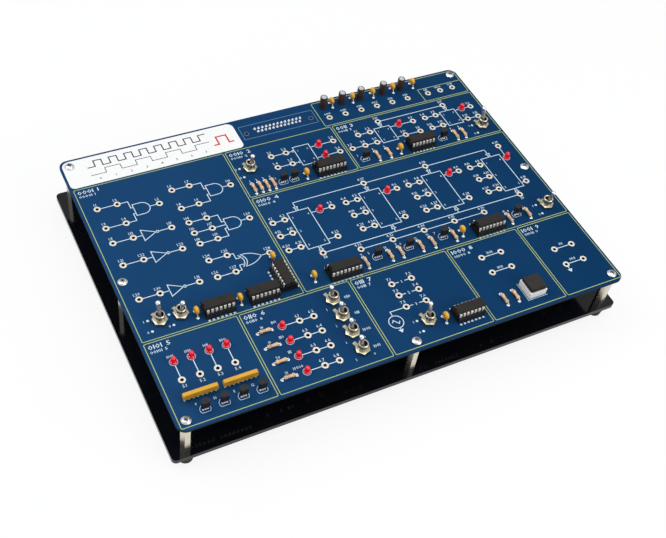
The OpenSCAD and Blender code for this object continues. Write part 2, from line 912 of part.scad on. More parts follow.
module resistor_networks() {
    color("#e2a019")
        at_panel(network_spots)
            translate([0, 0, network_lift + network_h / 2])
                rotate([90, 0, 0])
                    linear_extrude(network_t, center = true)
                        rounded_rect(network_l, network_h, network_corner_r);
}

module network_pins() {
    color("#cfcdc6")
        at_panel(network_pin_spots)
            lead_down(network_lift);
}

// Connector

// Rounded trapezium of the shell, its long side up; grow adds to it all round
function corner_arc(c, r, a0, a1) = [for (i = [0:6]) let(a = a0 + (a1 - a0) * i / 6)
    c + r * [cos(a), sin(a)]];
function d_outline(grow) =
    let(r = shell_r + grow, y = shell_h / 2 - shell_r, xt = shell_w / 2 - shell_r)
    let(xb = xt - 2 * y * shell_slope)
    concat(corner_arc([xt, y], r, -10, 90), corner_arc([-xt, y], r, 90, 190),
        corner_arc([-xb, -y], r, 190, 270), corner_arc([xb, -y], r, 270, 350));

// Children with +Z as the way that a plug leaves, +Y up, z = 0 on the flange's face
module at_connector() {
    translate([connector_x - panel_w / 2, connector_y - panel_d / 2, panel_z - axis_drop])
        rotate([90, 0, 180])
            children();
}

module at_posts() {
    for (s = [-1, 1])
        translate([s * post_span / 2, 0, 0])
            children();
}

module connector_shell() {
    color("#d2d1cb")
        at_connector() {
            difference() {
                translate([0, 0, -flange_t])
                    linear_extrude(flange_t)
                        rounded_rect(flange_l, flange_h, flange_corner_r);
                translate([0, 0, -flange_t - over])
                    linear_extrude(flange_t + 2 * over)
                        polygon(d_outline(-shell_wall));
                at_posts()
                    rod(screw_d + 2 * fit, -flange_t - over, over);
            }
            difference() {
                linear_extrude(shell_l)
                    polygon(d_outline(0));
                translate([0, 0, -over])
                    linear_extrude(shell_l + 2 * over)
                        polygon(d_outline(-shell_wall));
            }
        }
}

module contact_holes() {
    for (i = [0, 1])
        for (x = contact_row(contact_row_n - i))
            translate([x, (0.5 - i) * contact_row_pitch, shell_l - contact_hole_l])
                cylinder(d = contact_hole_d, h = contact_hole_l + over);
}

module connector_insulator() {
    color("#1d1d1f")
        at_connector()
            difference() {
                union() {
                    translate([0, 0, -flange_t])
                        linear_extrude(flange_t + shell_l - insulator_inset)
                            polygon(d_outline(-shell_wall - fit));
                    translate([-shell_w / 2, -shell_h / 2 - insulator_margin, -flange_t - insulator_l])
                        cube([shell_w, shell_h + 2 * insulator_margin, insulator_l]);
                }
                contact_holes();
            }
}

// One bent contact: back out of the insulator, then up through the panel
module contact_tail(x, row, back) {
    z = row * contact_row_pitch / 2;
    start = flange_t + insulator_l;
    rise = axis_drop - z + panel_t + tail_rise;
    translate([x, z, -back]) {
        sphere(d = contact_d, $fn = fine_fn);
        cylinder(d = contact_d, h = back - start);
        rotate([-90, 0, 0])
            cylinder(d = contact_d, h = rise);
    }
}

module connector_contacts() {
    color("#d8c27a")
        at_connector() {
            for (x = contact_row(contact_row_n))
                contact_tail(x, 1, tail_row_back);
            for (x = contact_row(contact_row_n - 1))
                contact_tail(x, -1, tail_row_back + contact_row_pitch);
        }
}

module connector_posts() {
    color("#c8c8c4")
        at_connector()
            at_posts()
                difference() {
                    union() {
                        cylinder(d = hex_d(post_af), h = post_l, $fn = 6);
                        rod(screw_d, -flange_t - bracket_t - post_grip, 0);
                    }
                    rod(post_bore_d, post_l - post_bore_l, post_l + over);
                }
}

// Angle bracket: one wing behind the flange, one wing under the panel
module connector_brackets() {
    color("#c4c3bd") {
        at_connector()
            at_posts()
                translate([0, 0, -flange_t - bracket_t])
                    difference() {
                        translate([-bracket_w / 2, -bracket_drop, 0])
                            cube([bracket_w, axis_drop + bracket_drop, bracket_t]);
                        rod(screw_d + 2 * fit, -over, bracket_t + over);
                    }
        at_panel(rivet_spots, panel_z - bracket_t)
            difference() {
                translate([-bracket_w / 2, rivet_back - bracket_back, 0])
                    cube([bracket_w, bracket_back - flange_t, bracket_t]);
                rod(rivet_d + 2 * fit, -over, bracket_t + over);
            }
    }
}

module connector_rivets() {
    color("#cfcec8")
        at_panel(rivet_spots) {
            rod(rivet_d, -panel_t - bracket_t, rivet_head_h);
            rod(rivet_head_d, 0, rivet_head_h);
            rod(rivet_head_d, -panel_t - bracket_t - rivet_head_h, -panel_t - bracket_t);
        }
}

// Toggle switches

// Children at each switch, turned so that +Y is the way its lever leans
module at_switches() {
    for (s = switches)
        at_panel([s])
            rotate(s[2])
                children();
}

module switch_housings() {
    color("#1c3f7a")
        at_switches()
            difference() {
                translate([-housing_w / 2, -housing_l / 2 + frame_t, housing_bottom])
                    cube([housing_w, housing_l - 2 * frame_t, housing_top - housing_bottom]);
                translate([-housing_w / 2 + housing_wall, -housing_l / 2 + frame_t + housing_wall,
                    housing_top - cavity_depth])
                    cube([housing_w - 2 * housing_wall, housing_l - 2 * (frame_t + housing_wall),
                        cavity_depth + over]);
            }
}

// Metal frame: a plate under the panel with a strap down each end of the housing
module switch_frames() {
    color("#c9c7be")
        at_switches()
            difference() {
                union() {
                    translate([-housing_w / 2, -housing_l / 2, housing_top])
                        cube([housing_w, housing_l, frame_t]);
                    for (s = [-1, 1])
                        translate([-strap_w / 2, s * (housing_l - frame_t) / 2 - frame_t / 2,
                            housing_bottom + strap_rise])
                            cube([strap_w, frame_t, housing_top - housing_bottom - strap_rise]);
                }
                rod(spigot_d + 2 * fit, housing_top - over, 0);
            }
}

module switch_lugs() {
    color("#d6d3c6")
        at_switches()
            for (i = [-1:1])
                translate([-lug_t / 2, i * lug_pitch - lug_w / 2, housing_bottom - lug_l])
                    difference() {
                        cube([lug_t, lug_w, lug_l]);
                        translate([-over, lug_w / 2, lug_hole_z])
                            rotate([0, 90, 0])
                                cylinder(d = lug_hole_d, h = lug_t + 2 * over);
                    }
}

// Bushing: spigot in the frame, barrel through the panel, cross hole for the pivot pin
module switch_bushings() {
    color("#d8d0b4")
        at_switches()
            difference() {
                union() {
                    rod(spigot_d, -panel_t - spigot_l, -panel_t);
                    rod(bushing_d, -panel_t, bushing_h);
                }
                rod(bushing_bore, -panel_t - spigot_l - over, bushing_h + over);
                translate([0, 0, bushing_h - bore_mouth])
                    cylinder(r1 = bushing_bore / 2, r2 = bushing_bore / 2 + bore_mouth + over,
                        h = bore_mouth + over);
                translate([0, 0, pivot_h])
                    rotate([0, 90, 0])
                        cylinder(d = pivot_pin_d + 2 * fit, h = bushing_d + 2 * over, center = true);
            }
}

module locating_washers() {
    color("#cdc9b8")
        for (s = switches)
            at_panel([s])
                linear_extrude(washer_t)
                    difference() {
                        union() {
                            circle(d = nut_af);
                            rotate(tab_turn)
                                translate([-tab_w / 2, 0])
                                    square([tab_w, tab_l]);
                        }
                        circle(d = bushing_d + 2 * fit);
                    }
}

module switch_nuts() {
    r = hex_d(nut_af) / 2;
    color("#ddd6bf")
        for (s = switches)
            at_panel([s])
                translate([0, 0, washer_t])
                    rotate(s[3])
                        difference() {
                            intersection() {
                                cylinder(r = r, h = nut_t, $fn = 6);
                                rotate_extrude()
                                    polygon([[0, 0], [r, 0], [r, nut_t - nut_chamfer],
                                        [r - 2 * nut_chamfer, nut_t], [0, nut_t]]);
                            }
                            rod(bushing_d + 2 * fit, -over, nut_t + over);
                        }
}

// Lever with its pivot ball and pin; at rest it leans against the end of its travel
module toggle_lever(i) {
    s = switches[i - 1];
    color("#e4e3de")
        at_panel([s])
            rotate(s[2])
                translate([0, 0, pivot_h])
                    rotate([-lever_lean, 0, 0]) {
                        sphere(d = pivot_ball_d);
                        rotate([0, 90, 0])
                            cylinder(d = pivot_pin_d, h = pivot_pin_l, center = true);
                        cylinder(d1 = lever_root_d, d2 = lever_tip_d * tip_taper, h = lever_l);
                        translate([0, 0, lever_l])
                            sphere(d = lever_tip_d);
                        rod(tail_d, -tail_l, 0);
                    }
}

// Push-button

module button_base() {
    color("#eceae4")
        at_panel(button_spots)
            difference() {
                linear_extrude(button_base_h)
                    rounded_rect(button_w, button_w, button_corner_r);
                rod(2 * (stem_flange_r + loose), well_floor, neck_z);
                rod(2 * (stem_r + 2 * fit), neck_z - over, button_base_h + over);
            }
}

// Cap with its hollow stem, whose flange is held under the neck of the base
module button_cap() {
    top_w = cap_w - 2 * cap_edge;
    color("#262625")
        at_panel(button_spots)
            difference() {
                union() {
                    translate([0, 0, cap_z])
                        linear_extrude(cap_t - cap_edge)
                            rounded_rect(cap_w, cap_w, cap_corner_r);
                    translate([0, 0, cap_z])
                        linear_extrude(cap_t)
                            rounded_rect(top_w, top_w, cap_corner_r);
                    rod(2 * stem_r, neck_z - stem_flange_h, cap_z + stem_top);
                    rod(2 * stem_flange_r, neck_z - stem_flange_h, neck_z - fit);
                }
                rod(2 * stem_bore_r, 0, cap_z - stem_roof);
            }
}

// Sweep of a round wire along a helix, closed at both ends
module button_spring() {
    z0 = well_floor + wire_r;
    z1 = cap_z - stem_roof - wire_r;
    steps = spring_turns * ring_n;
    last = wire_sides - 1;
    pts = [for (i = [0:steps]) for (k = [0:last])
        let(a = 360 * i / ring_n, b = 360 * k / wire_sides, r = spring_r + wire_r * cos(b))
        [r * cos(a), r * sin(a), z0 + (z1 - z0) * i / steps + wire_r * sin(b)]];
    walls = [for (i = [0:steps - 1]) for (k = [0:last]) let(n = (k + 1) % wire_sides)
        [i * wire_sides + k, i * wire_sides + n, (i + 1) * wire_sides + n, (i + 1) * wire_sides + k]];
    start_cap = [for (k = [0:last]) last - k];
    end_cap = [for (k = [0:last]) steps * wire_sides + k];
    color("#bdbdb8")
        at_panel(button_spots)
            polyhedron(pts, concat(walls, [start_cap, end_cap]), convexity = 8);
}

module button_pins() {
    color("#cfcdc6")
        at_panel(button_pin_spots)
            lead_down(0, contact_d);
}

base_plate();
feet();
base_screws();
standoffs();
circuit_panel();
panel_screws();
terminals();
chip_sockets();
socket_pins();
logic_chips();
chip_legs();
lamp_lenses();
lamp_leads();
capacitor_cans();
capacitor_sleeves();
capacitor_seals();
capacitor_leads();
drop_capacitors();
drop_capacitor_leads();
resistors();
resistor_leads();
transistors();
transistor_leads();
resistor_networks();
network_pins();
connector_shell();
connector_insulator();
connector_contacts();
connector_posts();
connector_brackets();
connector_rivets();
switch_housings();
switch_frames();
switch_lugs();
switch_bushings();
locating_washers();
switch_nuts();
toggle_lever(1);  // toggle_lever_1
toggle_lever(2);  // toggle_lever_2
toggle_lever(3);  // toggle_lever_3
toggle_lever(4);  // toggle_lever_4
toggle_lever(5);  // toggle_lever_5
toggle_lever(6);  // toggle_lever_6
toggle_lever(7);  // toggle_lever_7
toggle_lever(8);  // toggle_lever_8
toggle_lever(9);  // toggle_lever_9
toggle_lever(10);  // toggle_lever_10
button_base();
button_cap();
button_spring();
button_pins();
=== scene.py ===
# %% [markdown]
# # A digital logic trainer
# A printed circuit panel stands on hexagonal standoffs over a black base plate. The CAD model holds
# every solid piece. This script gives the pieces their finishes, adds what lies thinly on them, such as
# print, solder and tracks, and makes a few small parts again, nearer to the photo's sizes.

# %% Load the frame
import bmesh
import bpy
import json
import math
from mathutils import Matrix, Vector


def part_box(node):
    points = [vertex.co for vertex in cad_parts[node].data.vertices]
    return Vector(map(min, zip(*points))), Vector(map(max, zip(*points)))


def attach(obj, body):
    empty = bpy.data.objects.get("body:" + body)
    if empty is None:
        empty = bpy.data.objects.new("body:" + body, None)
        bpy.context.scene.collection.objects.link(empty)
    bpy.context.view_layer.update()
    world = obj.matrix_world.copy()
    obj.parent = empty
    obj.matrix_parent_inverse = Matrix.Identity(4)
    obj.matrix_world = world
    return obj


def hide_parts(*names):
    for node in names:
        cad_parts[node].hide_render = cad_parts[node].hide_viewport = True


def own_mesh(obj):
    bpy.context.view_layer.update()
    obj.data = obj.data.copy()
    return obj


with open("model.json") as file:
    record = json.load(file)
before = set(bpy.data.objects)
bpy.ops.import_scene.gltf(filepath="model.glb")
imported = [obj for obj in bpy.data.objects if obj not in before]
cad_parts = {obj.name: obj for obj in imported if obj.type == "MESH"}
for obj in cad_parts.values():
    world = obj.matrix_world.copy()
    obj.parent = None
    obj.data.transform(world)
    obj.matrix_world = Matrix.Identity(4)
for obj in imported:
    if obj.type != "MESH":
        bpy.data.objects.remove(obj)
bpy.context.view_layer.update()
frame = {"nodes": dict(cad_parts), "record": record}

# %% [markdown]
# ## Places on the panel
# The panel's layout was drawn in millimetres from its front left corner. A small function turns such a
# place into metres, so the lists below read like the drawing. The panel's own box gives the corner and
# the two heights.

# %% Panel places
panel_low, panel_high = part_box("circuit_panel")
MM = 0.001


def at(x, y, z=0.0):
    """Metres, from millimetres right of and behind the panel's front left corner and over its top."""
    return Vector((panel_low.x + x * MM, panel_low.y + y * MM, panel_high.z + z * MM))


def put(name, data):
    """A new object in the scene."""
    made = bpy.data.objects.new(name, data)
    bpy.context.collection.objects.link(made)
    return made


panel_t = (panel_high.z - panel_low.z) / MM
print("panel:", [round(v / MM, 2) for v in panel_high - panel_low], "mm")

# %% [markdown]
# ## Camera
# The photograph was taken from the front left, well above the panel. The four corners of the printed
# border were measured in it, and a pinhole camera was fitted to them: that gives the place, the turn
# and the focal length. The small shift moves the picture's centre, as cropping had done.

# %% Camera
lens = bpy.data.cameras.new("camera")
lens.sensor_width = 36
lens.lens = 56.44
lens.shift_x = 0.0105
lens.clip_start = 0.01
camera = put("camera", lens)
camera.location = (-0.2484, -0.3678, 0.506)
camera.rotation_euler = [math.radians(a) for a in (40.228, -6.406, -26.164)]
bpy.context.scene.camera = camera
print("camera to panel's middle:", round((camera.location - at(145, 105)).length, 3), "m")

# %% [markdown]
# ## Expressions that build materials
# A material is a tree of nodes, and long node code is hard to read. Two small classes help. `Wire` wraps
# one output, and its arithmetic operators add Math nodes, so `1 - mask * 0.5` builds what it says.
# `Recipe` adds any other node from its type, the values or wires for its sockets, and its settings. The
# same class serves Geometry Nodes further down.

# %% Wires and recipes
def srgb(*values):
    """Linear colour from the 0 to 255 values of a picture."""
    parts = [value / 255 for value in values]
    return *[c / 12.92 if c <= 0.04045 else ((c + 0.055) / 1.055) ** 2.4 for c in parts], 1.0


def scaled(colour, k):
    return tuple(min(1.0, c * k) for c in colour[:3]) + (1.0,)


def math_node(operation, swapped=False):
    """A method for one of Python's operators, which adds a Math node to the wire's recipe."""
    def method(wire, b):
        return wire.recipe.math(operation, *((b, wire) if swapped else (wire, b)))
    return method


class Wire:
    """One output of a node. + - * / ** < > on it add Math nodes to its recipe."""

    def __init__(self, recipe, socket):
        self.recipe = recipe
        self.socket = socket

    def other(self, name):
        return Wire(self.recipe, self.socket.node.outputs[name])

    __add__, __radd__ = math_node("ADD"), math_node("ADD", swapped=True)
    __sub__, __rsub__ = math_node("SUBTRACT"), math_node("SUBTRACT", swapped=True)
    __mul__, __rmul__ = math_node("MULTIPLY"), math_node("MULTIPLY", swapped=True)
    __truediv__ = math_node("DIVIDE")
    __pow__ = math_node("POWER")
    __gt__ = math_node("GREATER_THAN")
    __lt__ = math_node("LESS_THAN")


class Recipe:
    """A node tree, filled node by node."""

    def __init__(self, tree):
        self.tree = tree

    def node(self, kind, sockets=None, output=0, **settings):
        """Adds a node. Returns the wire of its output with this name, or this place among those shown."""
        made = self.tree.nodes.new(kind)
        for name, value in settings.items():
            setattr(made, name, value)
        for key, value in (sockets or {}).items():
            socket = made.inputs[key] if isinstance(key, int) else next(
                s for s in made.inputs if s.name == key and s.enabled)
            if isinstance(value, Wire):
                self.tree.links.new(value.socket, socket)
            else:
                socket.default_value = value
        shown = [s for s in made.outputs if s.enabled]
        if not shown:
            return None
        return Wire(self, shown[output] if isinstance(output, int) else made.outputs[output])

    def math(self, operation, a, b):
        return self.node("ShaderNodeMath", {0: a, 1: b}, operation=operation)


finishes = {}


class Finish(Recipe):
    """The recipe of one material, with the helpers that most finishes share."""

    def __init__(self, name):
        self.name = name
        self.material = bpy.data.materials.new(name)
        self.material.use_nodes = True
        super().__init__(self.material.node_tree)
        self.tree.nodes.clear()
        self.place = self.node("ShaderNodeTexCoord", output="Object")

    def axis(self, way):
        return self.node("ShaderNodeSeparateXYZ", {0: self.place}, way)

    def noise(self, size_mm, detail=3.0, stretch=(1, 1, 1)):
        """Soft noise from 0 to 1 whose blobs are about size_mm wide."""
        where = self.node("ShaderNodeMapping", {"Vector": self.place, "Scale": stretch})
        return self.node("ShaderNodeTexNoise",
                         {"Vector": where, "Scale": 1 / (size_mm * MM), "Detail": detail})

    def mix(self, factor, a, b):
        return self.node("ShaderNodeMix", {"Factor": factor, "A": a, "B": b}, data_type="RGBA")

    def bump(self, height, depth_mm):
        return self.node("ShaderNodeBump", {"Height": height, "Distance": depth_mm * MM})

    def height(self):
        """Millimetres above the panel's top."""
        return (self.axis("Z") - panel_high.z) / MM

    def from_axes(self, places):
        """Millimetres from the nearest of the upright axes that stand on some panel places."""
        nearest = None
        for spot in [at(*place) for place in places]:
            away = ((self.axis("X") - spot.x) ** 2 + (self.axis("Y") - spot.y) ** 2) ** 0.5
            nearest = away if nearest is None else self.math("MINIMUM", nearest, away)
        return nearest / MM

    def surface(self, **sockets):
        """Joins the shader and puts the material in finishes. Base_Color stands for Base Color."""
        shader = self.node("ShaderNodeBsdfPrincipled", {
            name.replace("_", " "): value for name, value in sockets.items()})
        self.node("ShaderNodeOutputMaterial", {"Surface": shader})
        finishes[self.name] = self.material


print("white:", [round(c, 3) for c in srgb(255, 255, 255)])

# %% [markdown]
# ## Floor, light and backdrop
# The photograph is a cut-out on white. A pale floor under soft lamps comes close. For the camera and for
# reflections the floor and the sky are lifted to white by their own colour, through Light Path, and not
# by stronger lamps, so the colours on the object stay as they are written.

# %% Stage
world = bpy.data.worlds.new("studio")
world.use_nodes = True
bpy.context.scene.world = world
sky = Recipe(world.node_tree)
sky.tree.nodes.clear()
dim = sky.node("ShaderNodeBackground", {"Color": srgb(236, 240, 246), "Strength": 0.45})
white = sky.node("ShaderNodeBackground", {"Color": (1, 1, 1, 1), "Strength": 1.0})
path = sky.node("ShaderNodeLightPath", output="Is Camera Ray")
sky.node("ShaderNodeOutputWorld", {"Surface": sky.node("ShaderNodeMixShader", {
    0: sky.math("MAXIMUM", path, path.other("Is Glossy Ray") * 0.55), 1: dim, 2: white})})

pale = Finish("pale_floor")
lit = pale.node("ShaderNodeBsdfDiffuse", {"Color": srgb(240, 240, 240)})
glow = pale.node("ShaderNodeEmission", {"Color": (1, 1, 1, 1), "Strength": 1.0})
path = pale.node("ShaderNodeLightPath", output="Is Camera Ray")
seen = pale.math("MAXIMUM", path, path.other("Is Glossy Ray"))
seen = pale.math("MAXIMUM", seen, path.other("Is Transmission Ray"))
pale.node("ShaderNodeOutputMaterial", {"Surface": pale.node("ShaderNodeMixShader", {
    0: seen * 0.86, 1: lit, 2: glow})})
floor_mesh = bpy.data.meshes.new("floor")
floor_mesh.from_pydata([(-4, -4, 0), (4, -4, 0), (4, 4, 0), (-4, 4, 0)], [], [(0, 1, 2, 3)])
floor_mesh.materials.append(pale.material)
put("floor", floor_mesh)

middle = Vector((0, 0, 0.03))
for name, place, size, power in (("key", (-0.7, 0.5, 1.2), (0.9, 0.9), 8.8),
                                 ("overhead", (0.3, -0.2, 1.5), (1.2, 1.2), 9.6),
                                 ("front", (0.7, -1.1, 0.7), (1.0, 0.6), 7)):
    lamp = bpy.data.lights.new(name, "AREA")
    lamp.shape = "RECTANGLE"
    lamp.size, lamp.size_y = size
    lamp.energy = power
    holder = put(name, lamp)
    aim = (middle - Vector(place)).to_track_quat("-Z", "Y")
    holder.matrix_world = Matrix.Translation(place) @ aim.to_matrix().to_4x4()
    print("lamp:", name, power, "W")

# %% [markdown]
# ## Plain finishes
# Most pieces are moulded plastic, plated metal or dipped resin. Real ones are never one flat colour:
# plastic has a fine grain and faint clouds, plating has wipe marks that spread its shine. Two helpers
# make these from Object coordinates, so the pattern sits still on the piece. A third serves whatever is
# blotched: the same blobs change its colour, its shine and its height.

# %% Plastic and metal
def moulded(name, colour, roughness, grain_mm=0.35, depth_mm=0.01, spread=0.14, gloss=0.28):
    f = Finish(name)
    grain = f.noise(grain_mm, 2)
    tint = f.mix(f.noise(7, 2), scaled(colour, 1 - spread), scaled(colour, 1 + spread))
    f.surface(Base_Color=tint, Roughness=roughness + (grain - 0.5) * 0.16,
              Normal=f.bump(grain, depth_mm), Specular_IOR_Level=gloss)


def plated(name, colour, roughness, streak_mm=0.5, stretch=(1, 1, 1), metal=1.0):
    f = Finish(name)
    wipe = f.noise(streak_mm, 4, stretch)
    haze = f.noise(6, 2)
    f.surface(Base_Color=f.mix(haze, scaled(colour, 0.86), colour), Metallic=metal,
              Roughness=roughness + wipe * 0.25 * haze, Normal=f.bump(wipe, 0.004))


def blotched(name, low, high, blob_mm, roughness, spread=0.12, depth_mm=0.006, detail=4,
             stretch=(1, 1, 1)):
    f = Finish(name)
    blobs = f.noise(blob_mm, detail, stretch)
    f.surface(Base_Color=f.mix(blobs, low, high), Roughness=roughness + blobs * spread,
              Normal=f.bump(blobs, depth_mm))


moulded("foot_rubber", srgb(34, 34, 35), 0.75, 0.2, 0.03)
moulded("socket_black", srgb(24, 24, 25), 0.5, gloss=0.2)
moulded("seal_rubber", srgb(28, 28, 28), 0.8)
moulded("yellow_dip", srgb(224, 166, 34), 0.32, 0.9, 0.02, 0.2, 0.5)
moulded("ochre_dip", srgb(214, 158, 34), 0.36, 1.2, 0.03, 0.22, 0.5)
moulded("transistor_black", srgb(30, 29, 31), 0.42, 0.25, 0.012)
moulded("connector_black", srgb(26, 26, 28), 0.45)
moulded("switch_blue", srgb(28, 66, 132), 0.4)
moulded("button_white", srgb(250, 249, 244), 0.38, 0.4, 0.005, 0.03, 0.5)
moulded("dark_recess", srgb(60, 58, 56), 0.5)
plated("zinc_screw", srgb(214, 216, 218), 0.24)
plated("tinned_lead", srgb(236, 236, 232), 0.28, metal=0.55)
plated("chip_leg_tin", srgb(244, 242, 234), 0.32, metal=0.35)
plated("can_aluminium", srgb(226, 228, 230), 0.3, 0.2, (1, 1, 0.2))
plated("connector_tin", srgb(205, 204, 198), 0.28)
plated("gold_contact", srgb(220, 190, 110), 0.2)
plated("post_steel", srgb(196, 197, 198), 0.25)
plated("switch_tin", srgb(160, 156, 146), 0.34)
plated("spring_wire", srgb(190, 190, 188), 0.25)
plated("fresh_solder", srgb(248, 248, 246), 0.3, metal=0.25)
plated("eyelet_grey", srgb(84, 98, 118), 0.4, metal=0.6)
print(len(finishes), "plain finishes")

# %% [markdown]
# ## The panel's finish
# The board is glass-fibre sheet under a blue lacquer. Its faces are glossy blue with a faint weave that the
# lacquer doesn't hide, and its sawn edges are darker. The faces also carry painted light: they are lighter
# on the left and darker on the right, for the light and sheen that fall across the board, with soft random
# clouds in it. The surface normal tells face from edge, so one material serves the whole board.

# %% Blue lacquer
f = Finish("blue_lacquer")
facing = f.node("ShaderNodeSeparateXYZ", {0: f.node("ShaderNodeNewGeometry", output="Normal")}, "Z")
edge = f.math("ABSOLUTE", facing, 0.0) < 0.5
weave = f.math("MAXIMUM", *[f.node("ShaderNodeTexWave", {
    "Vector": f.place, "Scale": 1 / (3.2 * MM), "Distortion": 0.6, "Detail": 1.0},
    bands_direction=way) for way in "XY"])
# Painted light: the face colour runs from lighter on the left to darker on the right, for the light and
# sheen across the board.
painted_light_left_to_right = f.axis("X") * 3.1 + 0.5
face = f.mix(painted_light_left_to_right + (f.noise(45, 2) - 0.5) * 0.5, srgb(21, 62, 103), srgb(1, 45, 82))
face = f.mix(weave * 0.10, face, srgb(44, 88, 130))
tint = f.mix(edge, face, f.mix(f.noise(0.8), srgb(14, 26, 46), srgb(40, 58, 70)))
f.surface(Base_Color=tint, Roughness=0.3 + f.noise(0.6) * 0.1 + edge * 0.3,
          Normal=f.bump(weave, 0.003), Specular_IOR_Level=0.03)
print("blue lacquer:", len(f.tree.nodes), "nodes")

# %% [markdown]
# ## The base plate's finish
# The base is a sheet of black acrylic, glossy enough to mirror the standoffs. What makes it look real
# is what collects on such a sheet: fine dust and hair scratches, which mostly raise the roughness.

# %% Black acrylic
f = Finish("black_acrylic")
specks = (f.noise(0.5, 2) > 0.7) * 0.3
hair = f.noise(0.25, 2, (1, 0.03, 1)) > 0.66
tint = f.mix(f.noise(30), srgb(9, 9, 11), srgb(15, 15, 18))
f.surface(Base_Color=f.mix(specks * 0.12, tint, srgb(150, 150, 150)),
          Roughness=0.09 + specks * 0.3 + hair * 0.05, Specular_IOR_Level=0.3)
print("black acrylic:", len(f.tree.nodes), "nodes")

# %% [markdown]
# ## Brass and nickel
# Terminals, standoffs, switch nuts and bushings are nickel on brass, which is warmer than tin. The bushings
# are threaded. A thread this fine is a normal pattern, not geometry: a wave along Z gives its pitch, and a
# bump turns it into ridges. Bores are painted dark brown and less metallic, as painted shade inside the
# holes: a terminal's bore is told by its height, and a bushing's by how near its own axis lies. The lever's
# shank below its tip is painted darker the same way, as painted shade.

# %% Nickel
lever_rows = (49.5, 37, 24.5, 12)
switch_places = [(16, 71.5), (28.5, 71.5), (111, 164.5), (278, 150), (278, 70), (158.5, 16)] + [
    (113, y) for y in lever_rows]
bushing_bore_r = 2.0
thread_pitch = 0.5
lever_tip_z = 12.2
wave_period = 0.314  # of Blender's wave texture at scale 1


def nickel(name, colour, roughness, metal=1.0, thread_mm=0.0, painted_shade_where=None, dark=srgb(58, 40, 28)):
    """Nickel plate, with painted shade: the function given for it takes the recipe and returns a wire that
    is 1 where the metal is painted dark as shade.
    """
    f = Finish(name)
    stain = f.noise(2.5, 3)
    tint = f.mix(stain, scaled(colour, 0.8), colour)
    # Painted shade: where the given wire is 1, the colour goes to the dark colour and the metal to none.
    if painted_shade_where:
        is_painted_shade = painted_shade_where(f)
        tint = f.mix(is_painted_shade, tint, dark)
        metal = metal - is_painted_shade * metal
    ridges = f.noise(0.3, 2) * 0.15
    if thread_mm:
        ridges = ridges + f.node("ShaderNodeTexWave", {
            "Vector": f.place, "Scale": wave_period / (thread_mm * MM), "Distortion": 0.0},
            bands_direction="Z")
    f.surface(Base_Color=tint, Metallic=metal, Roughness=roughness + stain * 0.12,
              Normal=f.bump(ridges, 0.025 if thread_mm else 0.006))


nickel("nickel_standoff", srgb(226, 220, 202), 0.2)
# Painted shade: the terminal's bore, from just under the top down through the panel, is painted dark brown.
nickel("plated_terminal", srgb(234, 229, 216), 0.36, 0.4,
       painted_shade_where=lambda f: (f.height() < 0.12) * (f.height() > -panel_t - 0.9))
nickel("switch_nickel", srgb(196, 190, 168), 0.24)
# Painted shade: the bore inside each bushing is painted near black.
nickel("threaded_nickel", srgb(222, 210, 184), 0.16, thread_mm=thread_pitch,
       painted_shade_where=lambda f: f.from_axes(switch_places) < bushing_bore_r + 0.03, dark=srgb(34, 26, 22))
# Painted shade: the lever below its tip is painted partly darker, which leaves the tip bright as a painted
# highlight.
nickel("lever_chrome", srgb(236, 236, 236), 0.12,
       painted_shade_where=lambda f: (f.height() < lever_tip_z) * 0.6, dark=srgb(74, 68, 64))
print("thread pitch", thread_pitch, "mm on the bushings")

# %% [markdown]
# ## Chips, lamps, sleeves and resistor lacquer
# A chip's moulded epoxy is matt with a slightly polished top. A lamp's lens is dyed clear resin: light goes
# in and comes back red, so it gets some transmission and a smooth skin, and a faint painted glow stands in
# for the light that the resin sends back. The capacitors' shrunk sleeves are satin brown. The resistors'
# tan lacquer has drips of its own.

# %% Special plastics
f = Finish("chip_epoxy")
grain = f.noise(0.18, 3)
f.surface(Base_Color=f.mix(f.noise(5), srgb(26, 24, 23), srgb(42, 38, 35)), Roughness=0.48 + grain * 0.2,
          Normal=f.bump(grain, 0.02), Specular_IOR_Level=0.2)

f = Finish("red_lens")
swirl = f.noise(2.2, 2)
tint = f.mix(swirl, srgb(212, 2, 24), srgb(238, 12, 38))
# Painted light: the emission is a faint painted glow for the light that the red resin sends back.
f.surface(Base_Color=tint, Roughness=0.12 + swirl * 0.06, Transmission_Weight=0.15, Coat_Weight=0.4,
          Emission_Color=tint, Emission_Strength=0.22, Normal=f.bump(swirl, 0.01))

f = Finish("button_black")
rub = f.noise(4, 2)
f.surface(Base_Color=f.mix(rub, srgb(26, 24, 22), srgb(44, 38, 32)), Roughness=0.42 + rub * 0.15,
          Normal=f.bump(f.noise(0.22, 3), 0.012), Specular_IOR_Level=0.25)

blotched("brown_sleeve", srgb(44, 30, 24), srgb(70, 50, 40), 0.5, 0.26, 0.14, 0.02, 3, (1, 1, 0.25))
blotched("resistor_lacquer", srgb(206, 170, 130), srgb(234, 206, 170), 1.1, 0.3, 0.12, 0.03, 3)
print(len(finishes), "finishes so far")

# %% [markdown]
# ## Put the finishes on the CAD nodes
# Each CAD node names its material slot in the record. The loop reads it from there, so a node can't be
# forgotten.

# %% Dress the CAD nodes
slot_of = {part["node"]: part["material_slot"] for part in frame["record"]["subparts"]}
for node, slot in slot_of.items():
    materials = frame["nodes"][node].data.materials
    materials.clear()
    materials.append(finishes[slot])
print("dressed:", len(slot_of), "nodes")

# %% [markdown]
# ## Ink for the print
# The print is screen-printed ink, a few hundredths of a millimetre thick. Each line is a strip with
# mitred corners, which is a flat closed prism. A strip needs only its points and its width, so the whole
# circuit diagram can be written as lists of panel places. All strips of one colour share one mesh.

